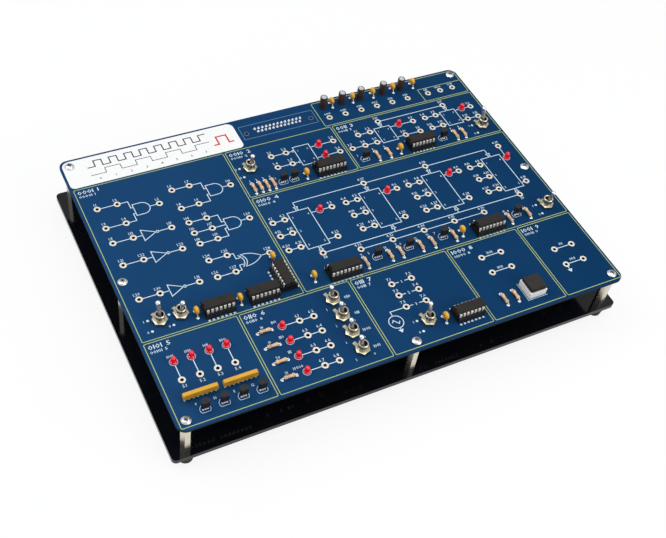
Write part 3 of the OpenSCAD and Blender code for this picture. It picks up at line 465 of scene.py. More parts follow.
# %% Strips of ink
class Ink:
    """Collects closed solids and turns them into one piece."""

    def __init__(self, top=0.04, bottom=-0.01):
        self.top, self.bottom = top, bottom
        self.corners, self.faces = [], []

    def ring(self, corners):
        """Adds corners and returns their numbers."""
        start = len(self.corners)
        self.corners += corners
        return list(range(start, len(self.corners)))

    def join(self, rings, closed=False):
        """Adds walls from ring to ring, and a cap on each end unless the rings close or end in a point."""
        for low, high in zip(rings, rings[1:] + rings[:closed]):
            for i in range(len(low)):
                self.faces.append(list(dict.fromkeys([low[i - 1], low[i], high[i], high[i - 1]])))
        if not closed:
            self.faces += [cap for cap in (rings[0][::-1], rings[-1]) if cap[0] != cap[1]]

    def prism(self, outline):
        """Adds a flat prism whose outline runs counter-clockwise, in panel millimetres."""
        self.join([self.ring([at(x, y, z) for x, y in outline]) for z in (self.bottom, self.top)])

    def strip(self, points, width, closed=False):
        """Adds a line of the given width, with mitred corners."""
        sides = offset(points, width / 2, closed), offset(points, -width / 2, closed)
        self.join([self.ring([at(*left, self.top), at(*right, self.top), at(*right, self.bottom),
                              at(*left, self.bottom)]) for left, right in zip(*sides)], closed)

    def turned(self, profile, centre, sides=24, tube=False):
        """Adds a turned solid. Its profile of (radius, height) runs up the outside, and on a tube back
        down the inside."""
        self.join([
            self.ring([at(x, y, z) for x, y in ring_points(centre, r, sides)]) if r
            else self.ring([at(*centre, z)]) * sides for r, z in profile], tube)

    def piece(self, name, finish, smooth=False):
        mesh = bpy.data.meshes.new(name)
        mesh.from_pydata(self.corners, [], self.faces)
        if smooth:
            mesh.shade_smooth()
            mesh.set_sharp_from_angle(angle=math.radians(35))
        return add_piece(name, mesh, finish)


def add_piece(name, mesh, finish):
    """Puts a finished mesh in the scene as a piece that rides on the still body."""
    mesh.materials.clear()
    mesh.materials.append(finishes[finish])
    made = put(name, mesh)
    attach(made, "trainer")
    print(name + ":", len(mesh.polygons), "faces")
    return made


def unit_way(a, b):
    """The direction from a to b, one millimetre long."""
    length = math.dist(a, b)
    return (b[0] - a[0]) / length, (b[1] - a[1]) / length


def offset(points, d, closed):
    """Points moved d to the left of their line, with mitred corners."""
    ways = [unit_way(a, b) for a, b in zip(points, points[1:] + points[:closed])]
    ways = ways[-1:] + ways if closed else ways[:1] + ways + ways[-1:]
    moved = []
    for (x, y), before, after in zip(points, ways, ways[1:]):
        nx, ny = -(before[1] + after[1]) / 2, (before[0] + after[0]) / 2
        k = d / max(nx * nx + ny * ny, 0.25)
        moved.append((x + nx * k, y + ny * k))
    return moved


def ring_points(centre, r, sides=24, start=0.0, end=360.0):
    """Points of a circle, or of an arc with both of its ends."""
    steps = sides if end - start >= 360 else sides - 1
    angles = [math.radians(start + (end - start) * i / steps) for i in range(sides)]
    return [(centre[0] + r * math.cos(a), centre[1] + r * math.sin(a)) for a in angles]


def box_points(x0, y0, x1, y1, r=0.0):
    if not r:
        return [(x0, y0), (x1, y0), (x1, y1), (x0, y1)]
    corners = ((x1 - r, y0 + r, 270), (x1 - r, y1 - r, 0), (x0 + r, y1 - r, 90), (x0 + r, y0 + r, 180))
    return [p for x, y, a in corners for p in ring_points((x, y), r, 6, a, a + 90)]


inks = (("white_ink", srgb(212, 230, 240), 0.42), ("lime_ink", srgb(178, 194, 120), 0.42),
        ("label_white", srgb(243, 243, 241), 0.5), ("navy_ink", srgb(38, 46, 66), 0.5),
        ("red_ink", srgb(206, 30, 44), 0.5), ("pale_blue_ink", srgb(96, 134, 172), 0.42))
for name, colour, roughness in inks:
    blotched(name, scaled(colour, 0.84), colour, 1.4, roughness)
print(len(inks), "inks")

# %% [markdown]
# A line has to stop at a terminal's bore, because paint can't lie over a hole. The CAD mesh tells where
# the terminals are, so no list of them can go wrong.

# %% Lines that stop at bores
def tail_places(node, width):
    """Panel places of a node's upright pieces, from the ends of their tails, each under width wide."""
    tails = []
    for corner in frame["nodes"][node].data.vertices:
        x, y, z = (corner.co - at(0, 0, -panel_t)) / MM
        if z > -1.0:
            continue
        near = [tail for tail in tails if max(abs(tail[0][0] - x), abs(tail[0][1] - y)) < width]
        if not near:
            tails.append([])
        (near or tails[-1:])[0].append((x, y))
    return [tuple((min(p[k] for p in tail) + max(p[k] for p in tail)) / 2 for k in (0, 1))
            for tail in tails]


terminal_places = tail_places("terminals", 2.9)
print("terminals found:", len(terminal_places))


def clear_of_bores(points, clear=1.7, near=1.2):
    """Cuts a line where it would run across a terminal's bore, and returns the pieces."""
    pieces, run = [], [points[0]]
    for a, b in zip(points, points[1:]):
        length = math.dist(a, b)
        wx, wy = unit_way(a, b)
        met = []
        for x, y in terminal_places:
            along = (x - a[0]) * wx + (y - a[1]) * wy
            aside = abs((x - a[0]) * wy - (y - a[1]) * wx)
            if aside < near and -clear < along < length + clear:
                met.append(along)
        for along in sorted(met):
            stop, start = along - clear, along + clear
            if stop > 0:
                run.append((a[0] + wx * stop, a[1] + wy * stop))
            pieces.append(run)
            run = [(a[0] + wx * start, a[1] + wy * start)] if start < length else []
        if run:
            run.append(b)
    return [piece for piece in pieces + [run] if len(piece) > 1]

# %% [markdown]
# ## Frames round the circuits
# Nine circuits and the supply each have a frame of thin yellow-green line, close to its neighbours.

# %% Circuit frames
circuits = {
    1: (2, 61, 100, 183.5), 2: (101.5, 141.5, 177.5, 183.5), 3: (179, 141.5, 288.5, 183.5),
    4: (101.5, 61, 288.5, 140), 5: (2, 2, 57, 59.5), 6: (58.5, 2, 128, 59.5),
    7: (129.5, 2, 195, 59.5), 8: (196.5, 2, 247, 59.5), 9: (248.5, 2, 288.5, 59.5)}
supply = (175, 185, 288.5, 208.3)
frame_line = 0.42
frames = Ink()
for box in [*circuits.values(), supply]:
    frames.strip(box_points(*box, 0.8), frame_line, closed=True)
frames.strip([(253.5, 185), (253.5, 197.5), (288.5, 197.5)], frame_line)
frames.piece("circuit_frames", "lime_ink")

# %% [markdown]
# ## The circuit diagram
# White lines join the terminals to gate and flip-flop symbols, the standard ones of every textbook. A
# symbol's function returns its outline as a list of points, and each wire is a list of points too.

# %% Symbols
def and_gate(x, y):
    return [(x, y - 4.7), (x + 4.9, y - 4.7)] + ring_points((x + 4.9, y), 4.7, 13, -78, 78) + [
        (x + 4.9, y + 4.7), (x, y + 4.7)]


def bow(x, y, reach):
    """The hollow back of an OR gate. A reach of 3 spans its whole height."""
    return [(x + 2.2 * (1 - (k / 3) ** 2), y + 4.7 * k / 3) for k in range(-reach, reach + 1)]


def or_gate(x, y):
    top = [(x + 11.6 * t, y + 4.7 * (1 - t ** 2.4)) for t in (0, 0.2, 0.4, 0.55, 0.7, 0.82, 0.92)]
    below = [(px, 2 * y - py) for px, py in reversed(top)]
    return top + [(x + 11.6, y)] + below + bow(x, y, 2)


def inverter(x, y):
    return [(x, y + 4.4), (x, y - 4.4), (x + 8.4, y)]


closed_shapes = [and_gate(31.2, 156), and_gate(78.7, 156), and_gate(78.4, 126), or_gate(76.9, 96)]
wires = [[(40.8, 156), (47, 156)], [(88.3, 156), (94.5, 156)], [(58, 126), (78.4, 126)],
         [(88, 126), (94, 126)], [(88.5, 96), (94, 96)], bow(75.2, 96, 3)]
for x, y, bend, pin_x, pin_y in (
        (10.5, 164, 29.6, 31.2, 158.3), (10.5, 147.5, 29.6, 31.2, 153.3),
        (58, 164, 77.1, 78.7, 158.3), (58, 147.5, 77.1, 78.7, 153.3),
        (58, 135, 76.6, 78.4, 128.8), (58, 117, 76.6, 78.4, 123.2),
        (58, 103, 73.4, 77.2, 98.6), (58, 89.5, 73.4, 77.2, 93.4)):
    wires.append([(x, y), (bend, y), (bend, pin_y), (pin_x, pin_y)])
for y in (135, 117, 90):
    wires += [[(10.5, y), (28.8, y)], [(38.8, y), (47, y)]]
    closed_shapes += [inverter(28.8, y), ring_points((38, y), 0.8, 12)]
print("gates:", len(closed_shapes), "shapes")

# %% Flip-flops, buses and sources
columns_5 = (13.2, 23.5, 33.8, 44)
rows_6 = (10.5, 21.5, 32.5, 43.5)


def clear_mark(x, y, way):
    """Bubble outside a box's edge, and the little trapezium that prints beside it."""
    return [ring_points((x, y + way * 0.9), 0.75, 12),
            [(x - 1.3, y + way * 3.2), (x + 1.3, y + way * 3.2), (x + 0.7, y + way * 1.8),
             (x - 0.7, y + way * 1.8)][::-way]]


closed_shapes += [box_points(145, 156.4, 156.4, 173.7), ring_points((140.6, 22.4), 4.4, 28)]
for y in (160, 170.5):
    closed_shapes.append(ring_points((144.1, y), 0.75, 12))
    wires += [[(128.5, y), (143.4, y)], [(156.4, y - 0.3), (173.5, y)]]
for x, pads, lamp, far in ((204.8, (182.5, 192), 223, 234.5), (256.5, (244, 244), 273.2, 281)):
    closed_shapes += [box_points(x, 157.6, x + 11.6, 171.7), *clear_mark(x + 6.1, 171.7, 1)]
    for pad, y in zip(pads, (159.5, 170)):
        wires += [[(pad, y), (x, y)], [(x + 11.6, y), (lamp, y), (far, y)]]
    wires.append([(x + 6.1, 177.5), (x + 6.1, 175)])
stages = ((105.5, 117, 137.5, 146, 138.5), (156, 167.1, 185.5, 192.8, 186),
          (201.5, 213.2, 232, 239.6, 233.5), (248.5, 259.6, 277.5, 277.5, 278))
for pad, x, lamp, upper, lower in stages:
    closed_shapes += [box_points(x, 90.3, x + 14.6, 121.4), *clear_mark(x + 7.2, 121.4, 1),
                      *clear_mark(x + 7.2, 90.3, -1)]
    wires += [[(pad, y), (x, y)] for y in (117, 105.5, 93.5)]
    wires += [[(x + 14.6, 117), (lamp, 117), (upper, 117) if upper > lamp else (278, 128.5)],
              [(x + 14.6, 93.5), (lower, 93.5)], [(x + 7.2, 124.6), (x + 7.2, 128.5)],
              [(x + 7.2, 87.1), (x + 7.2, 84.5)]]
for x, y in ((151.5, 48), (151.5, 39), (154, 30)):
    wires += [[(x, y), (156.2, y)], [(160.2, y), (165, y)]]
wires += [[(x, 41), (x, 30.5)] for x in columns_5]
wires += [[(80, y), (98, y)] for y in rows_6]
wires += [[(214, y), (228, y)] for y in (46.5, 34)]
wires += [[(261.5, y), (274.5, y)] for y in (36, 23)]
wires += [[(211, 177.5), (262.5, 177.5)], [(124.2, 128.5), (266.8, 128.5)], [(124, 84.5), (267, 84.5)],
          [(147, 79), (236, 79)], [(140.6, 26.8), (140.6, 30), (151.5, 30)],
          [(140.6, 18), (140.6, 16.4)], [(261.5, 23), (261.5, 18.6)],
          [(138.2, 22.4), (139.4, 24), (140.6, 22.4), (141.8, 20.8), (143, 22.4)]]
arrows = [[(x, y), (x + 1.7, y + 2.4), (x - 1.7, y + 2.4)] for x, y in ((140.6, 14.4), (261.5, 16.6))]
print("wires:", len(wires))

# %% Outlines of the parts on the panel
chip_places = [(49.5, 68, 14, 0), (77, 68, 14, 0), (93.2, 74.5, 14, 90), (159.5, 148, 16, 0),
               (227.5, 148, 14, 0), (129, 67, 16, 0), (231, 67, 16, 0), (183, 13, 14, 0)]
lamp_places = [(162.3, 159.5), (162.3, 170), (223, 170), (273.5, 170), (137.5, 117), (185.5, 117),
               (232, 117), (277.5, 117)] + [(x, 43) for x in columns_5] + [(78, y) for y in rows_6]
transistor_places = [(126.5, 147), (134, 147), (186, 148), (245.5, 148)] + [
    (x, 70) for x in (153.5, 175.5, 200, 255)] + [(18 + 10.9 * i, 9) for i in range(4)]
can_places = [(x, 202.8) for x in (181.5, 195.5, 210, 227.5, 242)]
# A resistor's place is its first foot. The last number turns it: 90 degrees points it to the back.
resistor_places = [(x, 143.5, 90) for x in (106.5, 111, 115.5, 120, 195, 203.5, 255.5, 261.8)] + [
    (x, 64, 90) for x in (145, 161.5, 169, 183, 191.5, 207, 248.5, 262.5)] + [
    (63, y, 0) for y in rows_6] + [(209.5, 9, 90), (217.5, 9, 90)]
wire_line, outline_line = 0.5, 0.28
lines = [piece for points in wires for piece in clear_of_bores(points)]
diagram = Ink()
for points in lines:
    diagram.strip(points, wire_line)
for points in closed_shapes:
    diagram.strip(points, wire_line, closed=True)
for points in arrows:
    diagram.prism(points)
for place in lamp_places:
    diagram.strip(ring_points(place, 2.35, 24), outline_line, closed=True)
for place in transistor_places:
    diagram.strip(ring_points(place, 3.0, 16, -40, 220), outline_line, closed=True)
diagram.strip([(223.2, 21), (223.2, 7.4), (236.8, 7.4)], outline_line)
diagram.piece("circuit_diagram", "white_ink")
connector_outline = Ink()
connector_outline.strip(box_points(118.9, 190.6, 172.6, 202.9), 0.36, closed=True)
connector_outline.piece("connector_outline", "pale_blue_ink")

# %% [markdown]
# ## Numbers
# Every terminal and part has a printed number. Blender's own font gives the digits. Each digit is made
# into a mesh once, and its corners are then copied to wherever it is needed, which is quicker than
# hundreds of text objects. The numbers count the terminals of each circuit, and the parts of each kind.

# %% Digits
digit_gap = 0.09
digit_rise = 0.72  # height of a digit in a font of size 1
half_thick = 0.012


def plain_mesh(holder):
    """The mesh that an object ends up with, its modifiers run. The object itself is removed."""
    bpy.context.view_layer.update()
    mesh = bpy.data.meshes.new_from_object(holder.evaluated_get(bpy.context.evaluated_depsgraph_get()))
    holder.modifiers.clear()
    bpy.data.objects.remove(holder)
    return mesh


def digit_mesh(character):
    """Corners, faces and width of a digit in a font of size 1."""
    text = bpy.data.curves.new("digit", "FONT")
    text.body, text.resolution_u, text.extrude, text.offset = character, 1, half_thick, 0.004
    mesh = plain_mesh(put("digit", text))
    left, right = [pick(v.co.x for v in mesh.vertices) for pick in (min, max)]
    return ([v.co - Vector((left, 0, 0)) for v in mesh.vertices],
            [list(p.vertices) for p in mesh.polygons], right - left)


def line_width(text, height):
    return (sum(digits[c][2] + digit_gap for c in text) - digit_gap) * height / digit_rise


def number(ink, text, x, y, height, stretch=1.0):
    """Adds a number to ink, centred on x, y. stretch widens its digits."""
    size = height / digit_rise
    pen = x - line_width(text, height) * stretch / 2
    middle = (ink.top + ink.bottom) / 2
    for c in text:
        corners, faces, wide = digits[c]
        ids = ink.ring([at(pen + p.x * size * stretch, y - height / 2 + p.y * size,
                           middle + p.z / half_thick * (ink.top - middle)) for p in corners])
        ink.faces += [[ids[i] for i in face] for face in faces]
        pen += (wide + digit_gap) * size * stretch


digits = {c: digit_mesh(c) for c in "0123456789."}
digits[" "] = ([], [], 0.3)
print("digit widths:", {c: round(d[2], 2) for c, d in digits.items()})

# %% Numbers of terminals and parts
def across(xs, ys):
    return [(x, y) for y in ys for x in xs]


left, right, trio = (10.5, 23), (58, 69.5), (10.5, 23, 47)
stage_pads = (105.5, 113.5, 156, 164, 201.5, 209.5, 248.5, 256.5)
terminals = {
    1: across(left, (164, 147.5)) + [(47, 156)] + across(right, (164, 147.5)) + [(94, 156)]
        + across(trio, (135,)) + across(right, (135, 126, 117)) + [(94, 126)] + across(trio, (117,))
        + across(right, (103, 89.5)) + [(94, 96)] + across(trio, (90,)),
    2: across((128.5, 139, 173.5), (170.5, 160)),
    3: across((192, 201, 234.5, 244, 252.5, 281), (170,))
        + across((182.5, 192, 201, 223, 234.5, 244, 252.5, 272.5, 281), (159.5,))
        + across((211, 262.5), (177.5,)),
    4: across(sorted((*stage_pads, 146, 192.8, 239.6)), (117,)) + across(stage_pads, (105.5,))
        + across(sorted((*stage_pads, 138.5, 186, 233.5, 278)), (93.5,))
        + [(147 + 22.25 * i, 79) for i in range(5)] + across((174.5, 220.5, 278), (128.5,)),
    6: across((89, 98), rows_6[::-1]),
    7: across((151.5, 165), (48, 39, 30))}
numbers = Ink()
for circuit, places in terminals.items():
    for i, (x, y) in enumerate(places):
        number(numbers, f"{circuit}.{i + 1}", x - 0.2, y + 3.9, 2.0)
for i, x in enumerate(columns_5):
    number(numbers, f"5.{i + 1}", x, 26.6, 2.0)
    number(numbers, f"{i + 9:04b}", x - 0.6, 47.2, 1.9)
for i, x in enumerate([181.5 + 12.2 * k for k in range(6)] + [259, 269, 279]):
    number(numbers, f"{i + 1:04b}", x, 195.9, 1.9)
for x, y, text in ((158.2, 48, "1"), (158.2, 39, "2"), (158.2, 30, "3"), (221, 48.7, "1001"),
                   (221, 36.2, "1010"), (268, 38.7, "101"), (268, 25.7, "000"), (124, 81.2, "38"),
                   (267, 81.2, "39")):
    number(numbers, text, x, y, 2.0)
for i, y in enumerate(rows_6[::-1]):
    number(numbers, str(18 + i), 67, y + 3.4, 1.8)
    number(numbers, f"{13 + i:04b}", 74.6, y + 4.4, 1.9)
    number(numbers, f"{6 + i:04b}", 122.4, lever_rows[i], 2.0)
for i, (x, y, turn) in enumerate(resistor_places[:16]):
    number(numbers, str(i + 1), x, y + 11.1, 1.8)
for i, (x, y) in enumerate(transistor_places):
    number(numbers, str(i + 1), x - 3.6, y + 4.6, 1.8)
for x0, x1, ys in ((147.2, 154.2, (170, 160)), (206.8, 214.4, (168.8, 160.4)),
                   (258.5, 266.1, (168.8, 160.4))):
    for i, (x, y) in enumerate([(x, y) for x in (x0, x1) for y in ys]):
        number(numbers, str(i + 1), x, y, 1.5)
for pad, x, lamp, upper, lower in stages:
    for i, (dx, y) in enumerate(((2, 117), (2, 105.5), (2, 93.5), (12.6, 117), (12.6, 93.5))):
        number(numbers, str(i + 1), x + dx, y, 1.6)
for x, y in switch_places[:6]:
    for text, dy in (("1", 2.6), ("0", -5.2)):
        number(numbers, text, x - 8.6, y + dy, 1.8)
        numbers.prism(ring_points((x - 6.2, y + dy), 0.8, 16))
for y in lever_rows:
    number(numbers, "1", 107, y - 4.6, 1.8)
    number(numbers, "0", 118.6, y - 4.6, 1.8)
print("terminal numbers:", sum(map(len, terminals.values())))

# %% [markdown]
# ## Headings
# Each circuit has a heading of two lines in its top left corner. Here it is the circuit's plain number,
# counted in twos and in tens as any logic course does, which keeps the weight of printed words.

# %% Circuit headings
stretch = 1.35
for circuit, (x0, y0, x1, y1) in circuits.items():
    for text, below, height in ((f"{circuit:04b} {circuit}", 3.1, 3.0),
                                (f"{circuit:05b} {circuit}", 6.5, 1.9)):
        centre = x0 + 1.6 + line_width(text, height) * stretch / 2
        number(numbers, text, centre, y1 - below, height, stretch)
numbers.piece("panel_numbers", "white_ink")

# %% [markdown]
# ## The white label
# A white field fills the panel's back left corner. It carries what any logic course starts with: a
# clock's square wave, the same wave at half the rate, and the numbers of its steps, with one step in red.

# %% Label
label = Ink(top=0.05)
label.prism(ring_points((112, 204.4), 4.2, 8, 0, 90) + ring_points((6.2, 203.8), 4.8, 8, 90, 180)
            + ring_points((4.4, 187.9), 3.0, 8, 180, 270) + ring_points((113.2, 187.9), 3.0, 8, 270, 360))
label.piece("label_field", "label_white")


def square_wave(x, y, step, high, count):
    """A line of count steps that are low and high by turns."""
    return [(x + (i + end) * step, y + high * (i % 2)) for i in range(count) for end in (0, 1)]


wave_low, wave_high = 192.4, 199.4
waves = Ink(top=0.07, bottom=0.04)
waves.strip(square_wave(16, wave_high, 5, 5.2, 16), 0.8)
waves.strip(square_wave(16, wave_low, 10, 4.2, 8), 0.5)
for i in range(8):
    number(waves, str(i), 21 + 10 * i, 188.6, 2.2)
waves.piece("label_waves", "navy_ink")
pulse = Ink(top=0.07, bottom=0.04)
pulse.strip([(98, wave_low), (101.5, wave_low), (101.5, wave_high), (108.5, wave_high),
             (108.5, wave_low), (112, wave_low)], 1.1)
pulse.piece("label_pulse", "red_ink")

# %% [markdown]
# ## Lamps, cans, collars and eyelets
# Four kinds of small turned parts differ a little on the real trainer from the CAD model: 3 mm lamps, 5 mm
# capacitor cans, taller switch collars and hollow eyelets beside the connector. Each is a profile turned
# round its own axis, at the place of the CAD node that it stands for, so it stays seated on the panel.

# %% Turned parts
def turned_piece(name, places, profile, finish, nodes, sides=24, tube=False):
    """Turns a profile round every place, as one piece that stands for some CAD nodes."""
    made = Ink()
    for place in places:
        made.turned(profile, place, sides, tube)
    piece = made.piece(name, finish, smooth=True)
    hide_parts(*nodes)


def node_heights(node):
    """Lowest and highest millimetre of a CAD node over the panel's top."""
    return [(corner.z - panel_high.z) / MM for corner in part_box(node)]


foot = node_heights("lamp_lenses")[0]
lamp_r, flange_r, lamp_h = 1.5, 1.95, 4.7
dome = [(lamp_r * math.cos(a), foot + lamp_h - lamp_r + lamp_r * math.sin(a))
        for a in map(math.radians, range(0, 90, 15))]
turned_piece("lamp_domes", lamp_places, [
    (0, foot), (flange_r, foot), (flange_r, foot + 1.0), (lamp_r, foot + 1.1)]
    + dome + [(0, foot + lamp_h)], "red_lens", ["lamp_lenses"])

foot = node_heights("capacitor_sleeves")[0]
can_r, sleeve_r, can_top = 2.3, 2.5, foot + 9.0
turned_piece("slim_cans", can_places, [
    (0, foot), (can_r, foot), (can_r, can_top - 0.3), (2.1, can_top - 0.12), (1.7, can_top - 0.08),
    (1.6, can_top - 0.25), (0, can_top - 0.25)], "can_aluminium", ["capacitor_cans", "capacitor_seals"], 28)
turned_piece("slim_sleeves", can_places, [
    (can_r + 0.03, foot), (sleeve_r, foot), (sleeve_r, foot + 0.9), (sleeve_r - 0.1, foot + 1.2),
    (sleeve_r, foot + 1.5), (sleeve_r, can_top - 0.35), (can_r, can_top), (1.85, can_top),
    (1.85, can_top - 0.05), (can_r + 0.03, can_top - 0.3)],
    "brown_sleeve", ["capacitor_sleeves"], 28, tube=True)

foot = node_heights("switch_bushings")[0]
collar_r, collar_top = 3.0, 6.8
turned_piece("switch_collars", switch_places, [
    (bushing_bore_r, foot), (collar_r, foot), (collar_r, collar_top - 0.3),
    (collar_r - 0.3, collar_top), (bushing_bore_r + 0.3, collar_top), (bushing_bore_r, collar_top - 0.4)],
    "threaded_nickel", ["switch_bushings"], 28, tube=True)

foot = node_heights("connector_rivets")[0]
connector_x, fixing_y, fixing_x, eyelet_r = 145.5, 195.5, 23.52, 1.1
turned_piece("eyelets", [(connector_x + side * fixing_x, fixing_y) for side in (-1, 1)], [
    (eyelet_r, foot), (eyelet_r + 0.4, foot), (eyelet_r + 0.4, 0.02), (1.9, 0.02), (1.9, 0.2), (1.7, 0.3),
    (1.2, 0.3), (eyelet_r, 0.2)], "eyelet_grey", ["connector_rivets"], 24, tube=True)

# %% [markdown]
# ## The push-button's spring
# The return spring shortens as the cap goes down. A merged copy of the CAD node's coil stands for it.

# %% Return spring
coil = bmesh.new()
coil.from_mesh(frame["nodes"]["button_spring"].data)
bmesh.ops.remove_doubles(coil, verts=coil.verts, dist=0.001 * MM)
coil_mesh = bpy.data.meshes.new("return_spring")
coil.to_mesh(coil_mesh)
coil.free()
spring = add_piece("return_spring", coil_mesh, "spring_wire")
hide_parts("button_spring")
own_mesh(spring)

# %% [markdown]
# ## Solder with Geometry Nodes
# Hundreds of equal spots of solder are a job for Geometry Nodes. The tree takes a cloud of points, puts
# a small cone on each, makes the instances real and sets the material. Its sizes are named inputs. The
# result is turned into a plain mesh, because the export would lose instances.

# %% Tree for solder
class Growth(Recipe):
    """A Geometry Nodes tree that sets a shape on every point of a mesh."""

    def __init__(self, name, lengths, counts=()):
        super().__init__(bpy.data.node_groups.new(name, "GeometryNodeTree"))
        kinds = {"Geometry": "Geometry", **dict.fromkeys(lengths, "Float"), **dict.fromkeys(counts, "Int"),
                 "Material": "Material"}
        add = self.tree.interface.new_socket
        self.inputs = {label: add(label, in_out="INPUT", socket_type="NodeSocket" + kind).identifier
                       for label, kind in kinds.items()}
        add("Geometry", in_out="OUTPUT", socket_type="NodeSocketGeometry")
        self.points = self.node("NodeGroupInput")
        self.given = self.points.other

    def attribute(self, name):
        return self.node("GeometryNodeInputNamedAttribute", {"Name": name}, data_type="FLOAT")

    def end(self, shape, **sockets):
        """Sets the shape on the points, makes the copies real and gives them their material."""
        copies = self.node("GeometryNodeInstanceOnPoints",
                           {"Points": self.points, "Instance": shape, **sockets})
        real = self.node("GeometryNodeRealizeInstances", {"Geometry": copies})
        done = self.node("GeometryNodeSetMaterial", {"Geometry": real, "Material": self.given("Material")})
        self.node("NodeGroupOutput", {"Geometry": done})


solder_tree = Growth("solder_on_points", ["Foot Radius", "Tip Radius", "Height"], ["Sides"])
given = solder_tree.given
solder_tree.end(solder_tree.node("GeometryNodeMeshCone", {
    "Vertices": given("Sides"), "Radius Top": given("Tip Radius"),
    "Radius Bottom": given("Foot Radius"), "Depth": given("Height")}, "Mesh"))


def grow(name, points, growth, lengths, finish, counts=None, attributes=None):
    """Runs a tree on points and returns the plain piece. Its lengths are in millimetres."""
    cloud = bpy.data.meshes.new(name)
    cloud.from_pydata(points, [], [])
    for attribute, values in (attributes or {}).items():
        cloud.attributes.new(attribute, "FLOAT", "POINT").data.foreach_set("value", values)
    holder = put(name, cloud)
    modifier = holder.modifiers.new(growth.tree.name, "NODES")
    modifier.node_group = growth.tree
    values = {**{label: length * MM for label, length in lengths.items()}, **(counts or {}),
              "Material": finishes[finish]}
    for label, value in values.items():
        modifier[growth.inputs[label]] = value
    return add_piece(name, plain_mesh(holder), finish)


print("solder tree inputs:", list(solder_tree.inputs))

# %% [markdown]
# Each lead's place is known from the part's own layout. Leads come up bright through a spot of solder on
# the panel's top, and every contact ends in a cone of solder below it.

# %% Places of leads
pitch, connector_pitch = 2.54, 2.77


def beside_chips(aside):
    """Place and turn at each contact of the chips, this far from the chip's middle line."""
    found = []
    for x, y, contacts, turn in chip_places:
        for i in range(contacts // 2):
            along = (i - (contacts // 2 - 1) / 2) * pitch
            for side in (-aside, aside):
                found.append((x - side, y + along, turn) if turn else (x + along, y + side, turn))
    return found


def on_resistors(*steps):
    """Place and turn at these distances from the first foot of each resistor."""
    return [(x, y + d, turn) if turn else (x + d, y, turn)
            for x, y, turn in resistor_places for d in steps]


drop_places = [(188 + 15.9 * i, 200.5) for i in range(5)] + [
    (36.5, 66), (63, 66), (93.2, 88), (110, 66), (212.5, 66), (142.5, 144.5), (211.5, 144.5), (168, 11)]
resistor_span = 8.8
chip_feet = [(x, y) for x, y, turn in beside_chips(1.5 * pitch)]
resistor_feet = [(x, y) for x, y, turn in on_resistors(0, resistor_span)]
drop_feet = [p for x, y in drop_places for p in ((x, y), (x, y + 2 * pitch))]
half = pitch / 2
transistor_feet = [(x + d, y) for x, y in transistor_places for d in (-half, 0, half)]
lamp_feet = [(x + d, y) for x, y in lamp_places for d in (-half, half)]
can_feet = [(x + d, y) for x, y in can_places for d in (-1.25, 1.25)]
network_feet = [(x + (i - 3.5) * pitch, 18) for x in (18.7, 41.7) for i in range(8)]
contact_tails = [(connector_x + (i - (n - 1) / 2) * connector_pitch, y)
                 for n, y in ((13, 198.2), (12, 195.36)) for i in range(n)]

top_spots = resistor_feet + drop_feet
below = chip_feet + top_spots + transistor_feet + lamp_feet + can_feet + network_feet
for name, places, z, foot_r, tip_r, high, sides, finish in (
        ("top_solder", top_spots, -0.005, 1.0, 0.4, 0.55, 12, "fresh_solder"),
        ("fine_solder", network_feet + transistor_feet, -0.005, 0.62, 0.34, 0.4, 10, "fresh_solder"),
        ("contact_solder", contact_tails, -0.005, 0.9, 0.35, 1.0, 12, "fresh_solder"),
        ("bottom_solder", below, -panel_t - 1.0, 0.3, 0.95, 1.0, 8, "tinned_lead")):
    grow(name, [at(x, y, z) for x, y in places], solder_tree,
         {"Foot Radius": foot_r, "Tip Radius": tip_r, "Height": high}, finish, {"Sides": sides})

# %% [markdown]
# ## Ticks beside the chips
# A row of small printed ticks runs along both sides of each socket, one to a contact. The same tree lays
# painted shade in the cross recesses of the screw heads: each cross is two dark bars.

# %% Tree for ticks
tick_tree = Growth("ticks_on_points", ["Width", "Length", "Height"])
given = tick_tree.given
size = tick_tree.node("ShaderNodeCombineXYZ", {
    "X": given("Width"), "Y": given("Length"), "Z": given("Height")})
tick_tree.end(tick_tree.node("GeometryNodeMeshCube", {"Size": size}, "Mesh"),
              Rotation=tick_tree.node("ShaderNodeCombineXYZ", {"Z": tick_tree.attribute("turn")}))
ticks = beside_chips(6.1)
grow("contact_ticks", [at(x, y, 0.015) for x, y, turn in ticks], tick_tree,
     {"Width": 1.4, "Length": 1.1, "Height": 0.05}, "white_ink",
     attributes={"turn": [math.radians(turn) for x, y, turn in ticks]})
screw_places = [(6, 6), (6, 204), (284, 6), (284, 204), (145, 6), (6, 105), (284, 105)]
screw_top = node_heights("panel_screws")[1]
first_bar, second_bar = 0.6, 0.6 + math.pi / 2
# Painted shade: a dark cross of two bars lies in each screw head's recess.
grow("screw_recess_shade", [at(x, y, screw_top - 0.06) for x, y in screw_places for bar in (0, 1)], tick_tree,
     {"Width": 2.6, "Length": 0.5, "Height": 0.2}, "dark_recess",
     attributes={"turn": [first_bar, second_bar] * len(screw_places)})

# %% [markdown]
# ## Colour bands on the resistors
# Four painted rings tell a resistor's value. The tree sets a thin ring on each point, turned along its
# resistor. Each point also holds a colour index, which survives on the mesh as an attribute, and one
# material reads it to paint all the bands.

# %% Tree for bands
band_tree = Growth("bands_on_points", ["Ring Radius", "Band Width"], ["Sides"])
given = band_tree.given
wide = band_tree.attribute("wide")
band_tree.end(
    band_tree.node("GeometryNodeMeshCylinder", {
        "Vertices": given("Sides"), "Radius": given("Ring Radius"), "Depth": given("Band Width")},
        "Mesh", fill_type="NONE"),
    Rotation=band_tree.node("ShaderNodeCombineXYZ", {
        "X": 0.0, "Y": math.pi / 2, "Z": band_tree.attribute("turn")}),
    Scale=band_tree.node("ShaderNodeCombineXYZ", {"X": wide, "Y": wide, "Z": 1.0}))

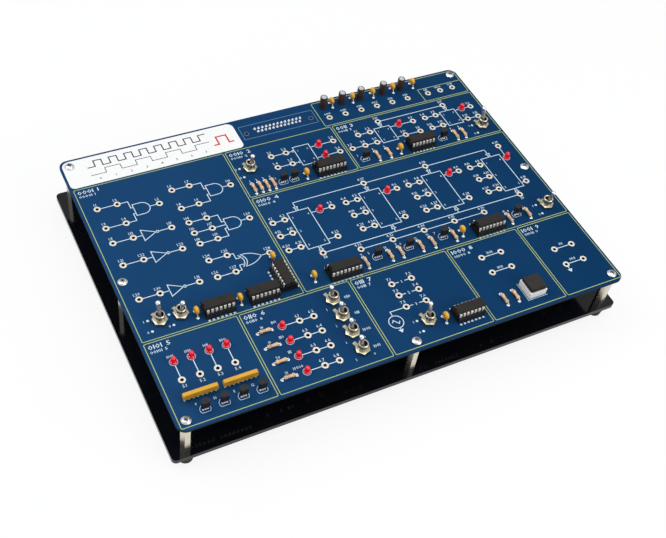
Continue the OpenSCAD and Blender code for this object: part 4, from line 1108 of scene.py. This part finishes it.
paints = [srgb(36, 28, 26), srgb(96, 44, 22), srgb(196, 30, 30), srgb(226, 110, 30),
          srgb(228, 196, 40), srgb(190, 150, 60)]
f = Finish("band_paint")
index = f.node("ShaderNodeAttribute", output="Fac", attribute_name="colour")
tint = f.node("ShaderNodeValToRGB", {0: index / len(paints) + 0.01})
ramp = tint.socket.node.color_ramp
ramp.interpolation = "CONSTANT"
for i, paint in enumerate(paints):
    stop = ramp.elements[i] if i < 2 else ramp.elements.new(i / len(paints))
    stop.position, stop.color = i / len(paints), paint
f.surface(Base_Color=f.mix(0.25 + f.noise(0.8, 3) * 0.3, tint, srgb(214, 182, 144)), Roughness=0.34)

# The colours of a resistor's bands, as places in paints. The last one tells its tolerance.
codes = ((1, 0, 2, 5), (4, 3, 2, 5), (1, 0, 3, 5), (2, 2, 1, 5))
resistor_z = 2.3 / 2 + 0.1
bands = on_resistors(*[resistor_span / 2 + d for d in (-2.35, -1.15, 0.0, 2.3)])
grow("resistor_bands", [at(x, y, resistor_z) for x, y, turn in bands], band_tree,
     {"Ring Radius": 1.165, "Band Width": 0.55}, "band_paint", {"Sides": 20}, {
         "turn": [math.radians(turn) for x, y, turn in bands],
         "colour": [c for k in range(len(resistor_places)) for c in codes[k % 4]],
         "wide": [1.0, 0.83, 0.83, 1.0] * len(resistor_places)})

# %% [markdown]
# ## Tracks under the panel
# Below the board, copper tracks under the same lacquer join the same places as the printed wires above.
# They show only from low down, as ridges in the blue.

# %% Tracks
track_line = 1.0
tracks = Ink(top=-panel_t + 0.01, bottom=-panel_t - 0.035)
for line in lines:
    tracks.strip(line, track_line)
for shape in closed_shapes[:2]:
    tracks.strip(shape, track_line, closed=True)
f = Finish("track_blue")
f.surface(Base_Color=f.mix(f.noise(3), srgb(24, 74, 120), srgb(36, 92, 140)), Roughness=0.32)
tracks.piece("copper_tracks", "track_blue")

# %% [markdown]
# ## Finish
# The view transform stays Standard, so colours come out as written.

# %% End
bpy.context.scene.view_settings.view_transform = "Standard"
